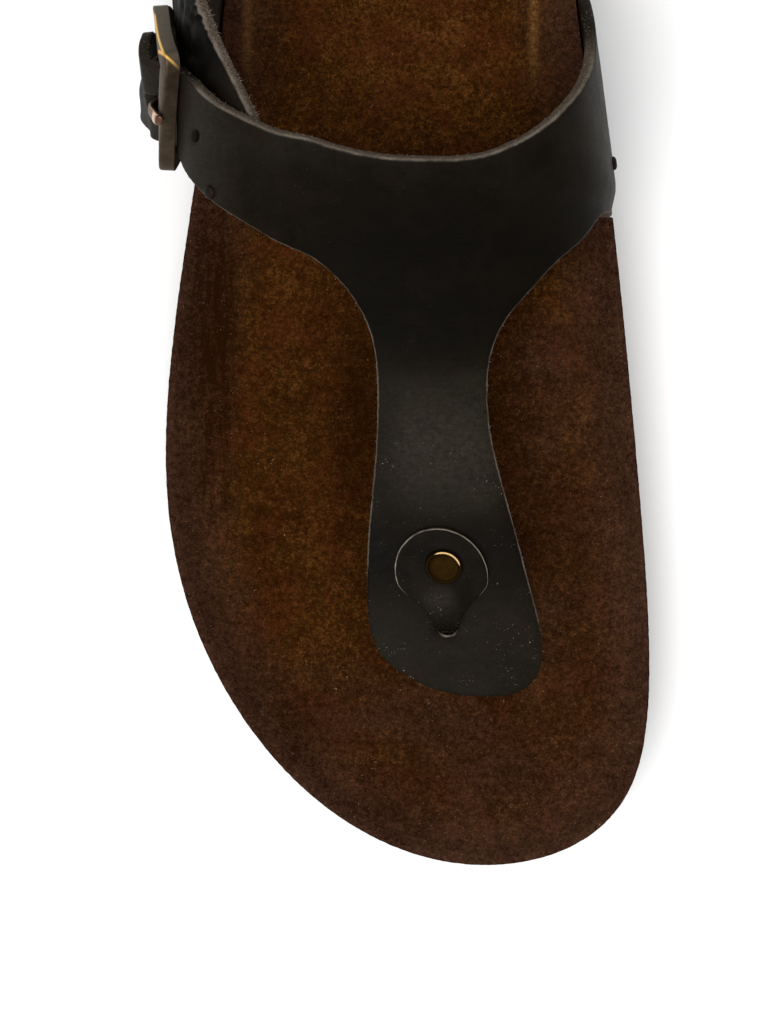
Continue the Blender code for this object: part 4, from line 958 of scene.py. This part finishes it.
def placeLeather(liftOf, seed, dents):
    def place(points, lift):
        u, v = points[:, 0], points[:, 1]
        face = rising(lift, 0.5, strap["leather"] - 1.0)
        relief = reliefOf(points, 9, 9, seed) * leatherSizes["relief"] * face
        return lifted(u, v, liftOf(u, v) + lift + relief + dents(u, v) * face)
    return place


openHole = armPattern(strap["openHoleT"], strap["openHoleW"])
strapDentRows = [       # u, v, reach across, reach along, height: behind and before the slit, open hole
    (post["u"], post["v"] - 0.8, 5.5, 2.6, -0.55), (post["u"], post["v"] - 4.6, 6.0, 2.0, 0.30),
    (*openHole, math.sqrt(6.0), math.sqrt(6.0), -0.28)]
strapShadeRows = [       # the same, how much paler, all below 0 as painted shade: the instep's slope, its medial side, inside the open hole
    (-4, -4, 30, 16, -0.30), (24, -3, 15, 20, -0.14), (*openHole, 1.7, 1.7, -0.45)]


strapWearAndLight = {       # in the pattern's u and v; a pair is where a change starts and over how much it runs
    "neck": 0.43, "neckV": -47, "neckReach": (11, 13), "neckU": 2.5, "neckSlant": 0.04, "neckHalf": (15.0, 8),
    "tongueShade": 0.30, "tongueShadeAt": (4, -69), "tongueSlant": 0.10, "instepShade": 0.22,
    "instepShadeV": -23, "shadeReach": 9.0,
    "medialArm": 0.45, "medialArmU": (33, 12), "medialArmEndU": (60, 10), "medialArmV": (2, 12),
    "buckleArm": 0.22, "buckleArmU": (-38, 10),
    "dullArmU": (-50, 6), "dullHole": 4, "dullTongueV": (-84, 8), "dullBesideV": (-72, 8), "dullBesideU": -8,
    "dullFootU": (46, 6), "dullFootV": (34, 8), "lip": 0.9, "lipV": -2.3, "lipSize": (2.6, 1.3),
    "dust": 0.12, "dustTongue": 0.9, "dustV": (-38, 12),
}


def strapDents(u, v):
    return hills(u, v, strapDentRows)


def strapLightAndShade(points):      # the light: painted highlight where the neck and the arms face the light, painted shade below 0 on the tongue, the instep and in the open hole; the edges: painted shade dulling the cut edges, below 0 for bright ones
    wear, (u, v) = strapWearAndLight, points.T
    besideNeck = np.abs(u - wear["neckU"] - wear["neckSlant"] * (v - wear["neckV"] - 1))
    # painted highlight across the neck, less painted shade across the tongue and the instep
    neck = wear["neck"] * bell(v - wear["neckV"], np.where(v > wear["neckV"], *wear["neckReach"]))
    neck *= falling(besideNeck, *wear["neckHalf"])
    shadeU, shadeV = wear["tongueShadeAt"]
    neck -= (wear["tongueShade"] * bell(v - shadeV - wear["tongueSlant"] * (u - shadeU), wear["shadeReach"])
             + wear["instepShade"] * bell(v - wear["instepShadeV"], wear["shadeReach"]))
    # painted highlight where the medial arm and the buckle arm face the light
    medialArm = wear["medialArm"] * rising(u, *wear["medialArmU"]) * falling(u, *wear["medialArmEndU"])
    medialArm *= rising(v, *wear["medialArmV"])
    buckleArm = wear["buckleArm"] * falling(u, *wear["buckleArmU"])
    dull = falling(u, *wear["dullArmU"]) + falling(v, *wear["dullTongueV"])
    dull += hill(u - openHole[0], v - openHole[1], wear["dullHole"], wear["dullHole"])
    dull += falling(v, *wear["dullBesideV"]) * (u < wear["dullBesideU"])
    dull += rising(u, *wear["dullFootU"]) * rising(v, *wear["dullFootV"])
    lip = hill(u - post["u"], v - post["v"] - wear["lipV"], *wear["lipSize"])
    return {"fade": neck + medialArm + buckleArm + hills(u, v, strapShadeRows),
            "hush": np.clip(dull, 0, 1) * (1 - lip) - wear["lip"] * lip,
            "dusty": wear["dust"] + wear["dustTongue"] * falling(v, *wear["dustV"])}


baseSizes = {
    "shade": -0.42, "shadeFrom": (-42, 8), "shadeTo": (-74, 8), "dull": 0.6, "dullFrom": (-66, 6),
    "crease": 2.1, "creaseFlat": 0.3, "creaseAlong": 0.10, "creaseAcross": 0.42, "creaseU": (-46, 7),
    "creaseV": (27, 8), "footPoints": 50,
}


def baseShadeOf(points):       # painted shade: darker in the buckle's shade, and painted shade dulling the cut edges further down
    u, sizes = points[:, 0], baseSizes
    return {"fade": sizes["shade"] * falling(u, *sizes["shadeFrom"]) * rising(u, *sizes["shadeTo"]),
            "hush": sizes["dull"] * falling(u, *sizes["dullFrom"])}


def baseDents(u, v):        # creased where it bends behind the buckle
    sizes = baseSizes
    along, across = sizes["creaseAlong"] * (u + v), sizes["creaseAcross"] * (u - v)
    crease = np.array([noise.noise(Vector((a, b, 2.2))) for a, b in zip(along, across)])
    depth = sizes["crease"] * rising(v, *sizes["creaseV"]) * falling(u, *sizes["creaseU"])
    return depth * (sizes["creaseFlat"] - np.abs(crease))


full, spacing, fine = strap["leather"], leatherSizes["edgeSpacing"], leatherSizes["netSpacing"]
grainLevels = [(0.62, full, 0), (0.36, full - 0.05, 0.15), (0.14, full - 0.20, 0.5), (0.02, full - 0.50, 0.9),
               (0.0, full * 0.55, 1), (0.02, 0.55, 1), (0.12, 0.18, 1), (0.35, 0.0, 0.7)]
outline = strapOutline(spacing)
slit = ovalLoop((post["u"], post["v"] + 0.15), post["neck"] / 2 + 0.35, post["strip"] / 2 + 0.5, 44)
slit[:, 1] -= 0.5 * np.clip(post["v"] - slit[:, 1], 0, 1.2)      # its front lip hangs open in a curve
prongHole = ovalLoop((strap["prongHoleT"], 0.0), strap["prongHoleLength"] / 2, strap["prongHoleWidth"] / 2,
                     36, 4.0)
roundHole = ovalLoop((strap["openHoleT"], strap["openHoleW"]), strap["holeRadius"], strap["holeRadius"], 26)
holes = [np.array([armPattern(*p) for p in hole]) for hole in (prongHole, roundHole)] + [slit]
toeStrap = shell("toeStrap", outline, holes, netInside(outline, fine, 1.2, holes),
                 placeLeather(strapLift, 1.7, strapDents), grainLevels, strapLeather,
                 ["toe_strap"], leatherSizes["edgeRough"], strapLightAndShade)

rear, front = through(baseRear, spacing), through(baseFront, spacing)
foot = np.array([(-footRun(v, -1), v) for v in np.linspace(*baseFoot[::-1], baseSizes["footPoints"])])
outline = np.vstack([rear[rear[:, 0] > foot[0][0] + 1], foot, front[front[:, 0] > foot[-1][0] + 1]])
baseStrap = shell("baseStrap", outline, [], netInside(outline, fine, 1.2),
                  placeLeather(lambda u, v: 0.0, 6.1, baseDents), grainLevels, strapLeather,
                  ["buckle_strap"], leatherSizes["edgeRough"], baseShadeOf)

buckle = {
    "barWidth": 4.0, "barThickness": 3.4, "length": 26.0, "width": 23.5, "corner": 1.7, "chamfer": 0.45,
    "outerLift": 7.8, "innerLift": 4.6, "bow": 0.9, "skew": 1.6, "rise": 1.2, "soft": 0.15, "crown": 0.03,
    "jointAt": (-49.2, 34.2), "jointTurn": -41.0, "middle": 11.5, "centreRadius": 1.1,
    "prongWidth": 2.4, "prongThickness": 1.2, "play": 0.3,
    "loopLeather": 1.2, "loopHalfWidth": 8.5, "loopTail": 8.0, "loopPlay": 0.45, "loopRelief": 0.10,
}


def frameLift(t):
    outer, inner = buckle["outerLift"], buckle["innerLift"]
    return outer + (inner - outer) * np.asarray(t) / buckle["length"]


def frameSection():         # its face is up, with worked edges; the right half first
    half, top = buckle["barWidth"] / 2, buckle["barThickness"] / 2
    edge, soft = buckle["chamfer"], buckle["soft"]
    right = [(half - soft, -top), (half, soft - top), (half, 0.0), (half, top - edge - 0.3),
             (half, top - edge), (half - 0.10, top - edge * 0.4), (half - edge * 0.4, top - 0.10),
             (half - edge, top), (0.35, top + buckle["crown"])]
    left = [(-right[k][0], right[k][1]) for k in (8, 7, 6, 5, 4, 1, 0)]
    return left[-1:] + right + left[:-1]


def buildBuckleFrame():
    length, width, corner = buckle["length"], buckle["width"], buckle["corner"]
    path = []
    for t, w, start in ((length - corner, width / 2 - corner, 0), (corner, width / 2 - corner, 90),
                        (corner, corner - width / 2, 180), (length - corner, corner - width / 2, 270)):
        path += arc(t, w, corner, start, start + 90, 9)
    path = resample(path, 0.3, closed=True)
    section = frameSection()
    rubbed = {5: 0.45, 6: 1.0, 7: 1.0, 8: 0.4}      # places in the section rubbed bright along the rear bar
    side = insetLoop(path, 1.0) - path
    outwards = side * np.sign(np.sum(side * (path - (length / 2, 0)), axis=1, keepdims=True))
    points, worn, mitred = [], [], []
    for p, n in zip(path, outwards):
        onRear = rising(p[1], width / 2 - 1.5, 1.0) * falling(p[0], length - 2, 5)
        for k, (out, up) in enumerate(section):
            t, across = p + n * out
            part = np.clip(t / length, 0, 1)
            bowed = frameLift(p[0]) + buckle["rise"] * part - 4 * buckle["bow"] * part * (1 - part)
            points.append((t, across + buckle["skew"] * part, bowed + up))
            worn.append(rubbed.get(k, 0.0) * onRear)
            mitred.append(float(p[0] < 7 and across > 0 and up > 0.2 - buckle["barThickness"] / 2))
    verts, count = armPoints(*np.array(points).T), len(section)
    faces = ladders(len(path), count) + ladder((len(path) - 1) * count, 0, count)
    turn = math.radians(buckle["jointTurn"])        # the slanting joint at the rear corner
    joint = (verts[:, :2] - buckle["jointAt"]) @ (-math.sin(turn), math.cos(turn))
    behind = smooth(joint / 0.5 + 0.5)
    values = {"worn": np.array(worn) * behind, "mitreSide": joint, "mitred": mitred, "paintedReflection": behind}
    return makePiece("buckleFrame", verts, faces, bronze, ["buckle_frame"], values,
                     smoothAngle=32)


buildBuckleFrame()
middleT, radius = buckle["middle"], buckle["centreRadius"]
barLift = float(frameLift(middleT))
reach = buckle["width"] / 2 - 1.2
circle = [(z, x) for x, z in ovalLoop((0, 0), radius, radius, 16)]
verts, faces = loft([[(middleT - x, w, barLift - z) for x, z in circle]
                     for w in np.linspace(-reach, reach, 24)])
makePiece("buckleCentreBar", armPoints(*np.array(verts).T), faces, bronze, [],
          {"worn": [0.3] * len(verts)})


def buildProng():
    halfW, halfT = buckle["prongWidth"] / 2, buckle["prongThickness"] / 2
    bend = buckle["centreRadius"] + buckle["play"] + halfT
    rest = buckle["outerLift"] + buckle["barThickness"] / 2 + buckle["play"] + halfT
    top = barLift + bend
    # round the centre bar, up through the strap and down on the outer bar
    path = arc(middleT, barLift, bend, -172, 90, 18)
    path += [(9.8, top + 0.1), (8.2, top + 0.75), (6.2, top + 1.9), (3.6, rest + 0.3), (0.8, rest + 0.05),
             (-1.5, rest), (-2.6, rest - 0.45), (-2.95, rest - 1.2)]
    path = through(path, 0.4)
    run = runOf(path)
    left = run[-1] - run
    tip = np.sqrt(np.clip(1 - np.clip(1 - left / 1.3, 0, 1)**2, 0.04, 1))
    rings, worn = [], []
    for p, d, s, q in zip(path, unit(np.gradient(path, axis=0)), tip, left):
        ring = []
        for w, h in ovalLoop((0, 0), 1.0, 1.0, 18, 3.2):
            t, lift = p + np.array([-d[1], d[0]]) * h * halfT * (0.35 + 0.65 * s)
            ring.append((t, w * halfW * s, lift))
            # brighter at the bend near the tip as a painted highlight, rubbed along the edges, darker on the
            # last 1.4 mm
            worn.append(0.25 + 0.6 * bell(q - 2.6, 1.1) + 0.3 * (abs(w) > 0.9) - 0.4 * (q < 1.4))
        rings.append(ring)
    verts, faces = loft(rings)
    return makePiece("buckleProng", armPoints(*np.array(verts).T), faces, copper,
                     ["buckle_prong"], {"worn": worn + [0.3, 0.0]})


buildProng()


def buildLoop():        # strip folded round the centre bar, its tails on the base strap
    skin, half = buckle["loopLeather"], buckle["loopHalfWidth"]
    low = full + buckle["loopPlay"] + skin / 2
    bend = buckle["centreRadius"] + buckle["loopPlay"] + skin / 2
    high, tail = low + skin + 0.3, middleT + buckle["loopTail"]
    path = [(tail, low), (tail - 3.0, low), (middleT + 1.5, low)] + arc(middleT, barLift, bend, -90, -270, 13)
    path += [(middleT + 2.5, barLift + bend - 0.8), (tail - 3.0, high), (tail, high)]
    path = through(path, 0.25)
    run, along = runOf(path), unit(np.gradient(path, axis=0))
    outline = resample([(0, -half), (run[-1], -half), (run[-1], half), (0, half)], 0.7, closed=True)
    hole = ovalLoop((run[np.argmin(path[:, 0])], 0.0), 5.6, buckle["prongWidth"] / 2 + 0.5, 60, 4.0)

    def place(points, lift):
        s, w = points[:, 0], points[:, 1]
        wrinkle = buckle["loopRelief"] * reliefOf(points, 2.2, 6.0, 4.4, 0.6, 3)
        h = lift - skin / 2 + wrinkle * (lift > skin / 2)
        (t, up), (dt, du) = readAt(s, run, path).T, unit(readAt(s, run, along)).T
        return armPoints(t + du * h, w, up - dt * h)

    levels = [(0.40, skin, 0), (0.16, skin - 0.08, 0.4), (0.03, skin - 0.25, 1), (0.0, skin * 0.5, 1),
              (0.03, 0.25, 1), (0.2, 0.0, 0.7)]
    return shell("buckleLoop", outline, [hole], netInside(outline, 1.0, 0.7, [hole]), place, levels,
                 strapLeather, ["buckle_loop"], 0.06)


buildLoop()


def buildStem():        # rolled leather from the footbed up to the slit
    low, top = post["root"], anchor[2] + 0.4
    rings = []
    for z in np.linspace(low, top, 46):
        near = rising(z, top - 5.0, 5.0)
        halfX = (post["width"] * (1 - near) + post["neck"] * near) / 2
        halfY = (post["depth"] * (1 - near) + post["strip"] * near) / 2
        ring = ovalLoop((0, 0), halfX, halfY, 56, 2.6 + 1.6 * near)
        for p in ring:
            fold = noise.noise(Vector((p[0] * 0.5, p[1] * 0.5, z * 0.33)))
            seam = 0.35 * bell(p[0] - 0.4, 0.35) * (p[1] < 0) * (1 - near)
            p *= 1 - 0.05 * abs(fold)
            p[1] += seam
        ring += anchor[:2] + (0.0, 0.35 * math.sin((z - low) / (top - low) * math.pi))
        rings.append(np.column_stack([ring, np.full(len(ring), z)]))
    verts, faces = loft(rings)
    return makePiece("toePostStem", verts, faces, tabLeather, ["toe_post"])


neckRun = spline(np.array([0.0, 2.2, 4.9, 7.1, 9.2]), np.array([2.0, 3.4, 5.3, 7.6, 9.42]))


def teardropHalf(run):      # half the tab's width: a drawn-in neck, then a round end
    if run < 9.2:
        return float(neckRun(max(run, 0.0)))
    return math.sqrt(max(post["teardropRadius"]**2 - (run - post["teardropReach"])**2, 0.0))


def buildTab():         # the strip comes up through the slit and ends in a round tab
    skin = post["strip"]
    bend = skin / 2 + 0.6
    rest = full + 0.3 + skin / 2
    below = rest - bend + 0.6
    laid = below + bend * math.pi / 2       # from here on the strip lies flat
    finish = post["teardropReach"] + post["teardropRadius"] - bend
    # stations down the tab, closer towards its round end
    closer = np.sin(np.linspace(0, math.pi / 2, 16))[1:-1]
    runs = [*np.linspace(0, finish - 6, 24), *(finish - 6 + 6 * closer)]
    right = [(teardropHalf(0.0), s) for s in np.linspace(0, laid, 10)[:-1]]
    right += [(teardropHalf(bend + q), laid + q) for q in runs]
    outline = resample(right + [(0.0, laid + finish)] + [(-x, s) for x, s in right[::-1]], 0.55, closed=True)

    def place(points, lift):
        x, s = points[:, 0], points[:, 1]
        a = np.clip((s - below) / (laid - below), 0, 1) * math.pi / 2
        flat, h = np.maximum(s - laid, 0), lift - skin / 2
        up = np.where(s < below, s - 0.6, rest - bend + bend * np.sin(a))
        crown = 0.35 * bell(flat - 5.0, 5.0) * (1 - (x / 4.5)**2) * (lift > 0.3)
        crown += reliefOf(points, 3.5, 3.5, 9.1, octaves=3) * 0.06 * (lift > skin * 0.6)
        fromRivet = np.hypot(x, flat + bend - post["teardropReach"] - 1.0)
        pressed = -0.30 * bell(fromRivet, math.sqrt(34.0)) * (lift > 0.8)
        edgeCurl = 0.10 * rising(np.abs(x), 6.5, 3.0)
        raised = up + np.sin(a) * (h + np.clip(crown, -0.2, 0.4) + pressed + edgeCurl)
        v = post["v"] + bend - bend * np.cos(a) + flat - np.cos(a) * h
        return lifted(post["u"] + x - post["tabTurn"] * flat, v, raised)

    levels = [(0.40, skin, 0), (0.20, skin - 0.04, 0.15), (0.07, skin - 0.16, 0.8), (0.0, skin - 0.5, 1),
              (0.0, 0.6, 1), (0.05, 0.25, 1), (0.25, 0.0, 0.7)]

    def marks(points):      # bright edge round the end, painted shade dulling the edges by the neck
        x, run = points[:, 0], points[:, 1] - laid
        scuffed = 0.40 * hill(x + 0.8, run - 5.0, 3.6, 3.2) - 0.18
        return {"hush": 0.9 * falling(run, 8.5, 3.5), "fade": scuffed, "dusty": np.full(len(x), 0.7)}

    return shell("toePostTab", outline, [], netInside(outline, 0.85, 0.6), place, levels, tabLeather,
                 [], 0.08, marks)


rivet = {       # radius, height and how bright the rim is: rubbed, and kept to one side as a painted highlight
    "profile": [(0.05, 0.02, 0), (3.5, 0.0, 0), (3.82, 0.10, 0), (3.90, 0.38, 0), (3.85, 0.82, 0),
                (3.72, 1.12, 0.3), (3.56, 1.25, 0.8), (3.42, 1.28, 1.1), (3.28, 1.22, 0.8), (3.10, 1.06, 0.3),
                (2.90, 0.96, 0), (2.2, 0.93, 0), (1.2, 0.97, 0), (0.05, 0.99, 0)],
    "litFrom": (0.4, 0.92), "longAt": -0.40, "longer": 0.07,
}
tackProfile = [(0.03, -0.3, 0), (1.35, -0.3, 0), (1.5, -0.1, 0), (1.5, 0.25, 0), (1.38, 0.5, 0),
               (1.1, 0.7, 0), (0.7, 0.82, 0), (0.03, 0.85, 0)]


def turned(name, u, v, lift, profile, finish, slotName, replaced, count=72, litFrom=None, longAt=0.0,
           longer=0.0):
    at = lifted([u], [v], [lift])[0]
    up = Vector(lifted([u], [v], [lift + 1.0])[0] - at)
    frameTurn = np.array(up.to_track_quat("Z", "Y").to_matrix())
    longWay = np.array([math.cos(longAt), math.sin(longAt), 0.0])       # knocked out of round along this way
    beside = np.array([-longWay[1], longWay[0], 0.0])
    rings, worn = [], []
    for r, z, wear in profile:
        flat = ovalLoop((0, 0), max(r, 1e-3), max(r, 1e-3), count)
        circle = np.column_stack([flat, np.full(count, z)]) @ frameTurn.T
        ring = circle + (np.outer(circle @ longWay, longWay) - np.outer(circle @ beside, beside)) * longer
        rings.append(at + ring)
        lit = np.ones(count)
        if litFrom:         # painted highlight: bright on the lit side only
            lit = rising(ring[:, :2] @ np.array(litFrom) / max(r, 0.5), 0.25, 0.5)
        worn += list(wear * lit)
    verts, faces = loft(rings)
    worn += [profile[0][2], profile[-1][2]]
    return makePiece(name, verts, faces, finish, replaced, {"worn": worn}, smoothAngle=70)


buildStem()
buildTab()
rivetU = post["u"] - post["tabTurn"] * post["rivetRun"] + post["rivetShift"]
turned("postRivet", rivetU, post["v"] + post["rivetRun"], full + post["strip"] + 0.6, finish=brass,
       slotName="aged_brass", replaced=["post_rivet"], **rivet)
tacks = [("tackMedial", "tack_medial", 56.0, 13.0), ("tackLateral", "tack_lateral", -46.2, 6.9)]     # at u, v
for name, node, u, v in tacks:
    lift = float(strapLift(np.array([u]), np.array([v]))[0]) + full
    turned(name, u, v, lift, tackProfile, blackened, "antique_bronze", [node], 28)


# loose fibres of the cut leather edges and of the suede's nap
fibreSizes = {
    "strap": {"density": 1.3, "length": 0.55, "width": 0.035, "seed": 4},
    "base": {"density": 4.5, "length": 0.95, "width": 0.045, "seed": 9},
    "nap": {"density": 0.16, "length": 0.55, "width": 0.05, "seed": 12},
    "cutFrom": 0.75, "upFrom": 0.3, "tilt": (1.15, 1.15, 3.1), "stretch": (0.35, 1.25),
}


def fibreTree(byCut):
    global tree
    sizes = fibreSizes
    tree = bpy.data.node_groups.new("fibres", "GeometryNodeTree")
    for label, kind in (("Geometry", "Geometry"), ("Density", "Float"), ("Length", "Float"),
                        ("Width", "Float"), ("Seed", "Int"), ("Finish", "Material")):
        tree.interface.new_socket(label, in_out="INPUT", socket_type="NodeSocket" + kind)
    tree.interface.new_socket("Geometry", in_out="OUTPUT", socket_type="NodeSocketGeometry")
    given = addNode("NodeGroupInput").outputs
    if byCut:       # fibres stand on the cut edges, the nap on what looks up
        cut = addNode("GeometryNodeInputNamedAttribute", {"Name": "cutEdge"}, data_type="FLOAT")
        chosen = maths("GREATER_THAN", cut.outputs[0], sizes["cutFrom"])
    else:
        normal = addNode("ShaderNodeSeparateXYZ", {0: addNode("GeometryNodeInputNormal").outputs[0]})
        chosen = maths("GREATER_THAN", normal.outputs["Z"], sizes["upFrom"])
    scatter = addNode("GeometryNodeDistributePointsOnFaces", {
        "Mesh": given["Geometry"], "Seed": given["Seed"], "Density": times(chosen, given["Density"])}).outputs
    hair = addNode("GeometryNodeMeshCone", {
        "Vertices": 3, "Radius Bottom": given["Width"], "Depth": given["Length"]}).outputs["Mesh"]
    tilt = addNode("FunctionNodeRandomValue", {
        0: tuple(-angle for angle in sizes["tilt"]), 1: sizes["tilt"], "Seed": given["Seed"]},
        data_type="FLOAT_VECTOR").outputs[0]
    turn = addNode("FunctionNodeRotateEuler", {0: scatter["Rotation"], 1: tilt}).outputs[0]
    stretch = addNode("FunctionNodeRandomValue", {
        2: sizes["stretch"][0], 3: sizes["stretch"][1], "Seed": given["Seed"]}, data_type="FLOAT").outputs[1]
    stand = addNode("GeometryNodeInstanceOnPoints", {
        "Points": scatter["Points"], "Instance": hair, "Rotation": turn, "Scale": stretch}).outputs[0]
    real = addNode("GeometryNodeRealizeInstances", {0: stand}).outputs[0]
    paint = addNode("GeometryNodeSetMaterial", {"Geometry": real, "Material": given["Finish"]}).outputs[0]
    feed(addNode("NodeGroupOutput"), {0: paint})
    return tree


def growFibres(name, source, sizes, finish, byCut):
    holder = newObject(name + "Source", source.data)
    grow = holder.modifiers.new("fibres", "NODES")
    grow.node_group = fibreTree(byCut)
    values = {"Density": sizes["density"] * 1e6, "Length": sizes["length"] * mm, "Width": sizes["width"] * mm,
              "Seed": sizes["seed"], "Finish": finish}
    for item in grow.node_group.interface.items_tree:
        if item.in_out == "INPUT" and item.name in values:
            grow[item.identifier] = values[item.name]
    bpy.context.view_layer.update()
    made = bpy.data.meshes.new_from_object(holder.evaluated_get(bpy.context.evaluated_depsgraph_get()))
    bpy.data.objects.remove(holder)
    return settle(newObject(name, made))


fibreFinish, shader = newFinish("leatherFibre")
fibreTone = noiseOf(places(), 1.2, 2)
feed(shader, {"Base Color": mix(fibreTone, (0.05, 0.034, 0.024), (0.34, 0.26, 0.21)), "Roughness": 0.9})
napFinish, shader = newFinish("suedeFibre")
napTone = ramp(noiseOf(places(), 1.5, 2), (0.4, 0.0), (0.62, 1.0))
feed(shader, {"Base Color": mix(napTone, (0.045, 0.018, 0.006), (0.20, 0.12, 0.06)), "Roughness": 0.95,
              "Specular IOR Level": 0.1})
growFibres("strapFibres", toeStrap, fibreSizes["strap"], fibreFinish, True)
growFibres("baseStrapFibres", baseStrap, fibreSizes["base"], fibreFinish, True)
growFibres("suedeNap", footbedSuede, fibreSizes["nap"], napFinish, False)

studio = {
    "cameraAt": (-2.9, -62.2, 1000.0), "lens": 36 * 4.52 * 976 / 1024, "floor": 0.86, "world": 0.62,
    "keyPower": 26.0, "keyAt": (-0.35, -0.55, 1.55), "fillPower": 7.0, "fillAt": (0.5, 0.9, 1.3),
    "lampSize": 1.1,
}
bpy.ops.mesh.primitive_plane_add(size=6.0, location=(0, 0, 0))
floor = bpy.context.active_object
floor.name = "floor"
paper, shader = newFinish("floorPaper")
feed(shader, {"Base Color": (studio["floor"], studio["floor"], studio["floor"], 1), "Roughness": 0.9,
              "Specular IOR Level": 0.1})
floor.data.materials.append(paper)

world = bpy.data.worlds.new("softRoom")
world.use_nodes = True
tree = world.node_tree
feed(tree.nodes["Background"], {"Color": (1.0, 1.0, 1.0, 1), "Strength": studio["world"]})
bpy.context.scene.world = world
for label in ("key", "fill"):
    lamp = bpy.data.lights.new(label + "Light", "AREA")
    lamp.shape, lamp.size, lamp.energy = "DISK", studio["lampSize"], studio[label + "Power"]
    holder = newObject(label + "Light", lamp)
    holder.location = studio[label + "At"]
    holder.rotation_mode = "QUATERNION"
    holder.rotation_quaternion = Vector(studio[label + "At"]).to_track_quat("Z", "Y")

lensHolder = bpy.data.cameras.new("camera")
lensHolder.lens, lensHolder.sensor_width, lensHolder.clip_start = studio["lens"], 36.0, 0.01
camera = newObject("camera", lensHolder)
camera.location = Vector(studio["cameraAt"]) * mm
bpy.context.scene.camera = camera
bpy.context.scene.view_settings.view_transform = "Standard"
print("floor, light and camera ready")

bpy.context.view_layer.update()
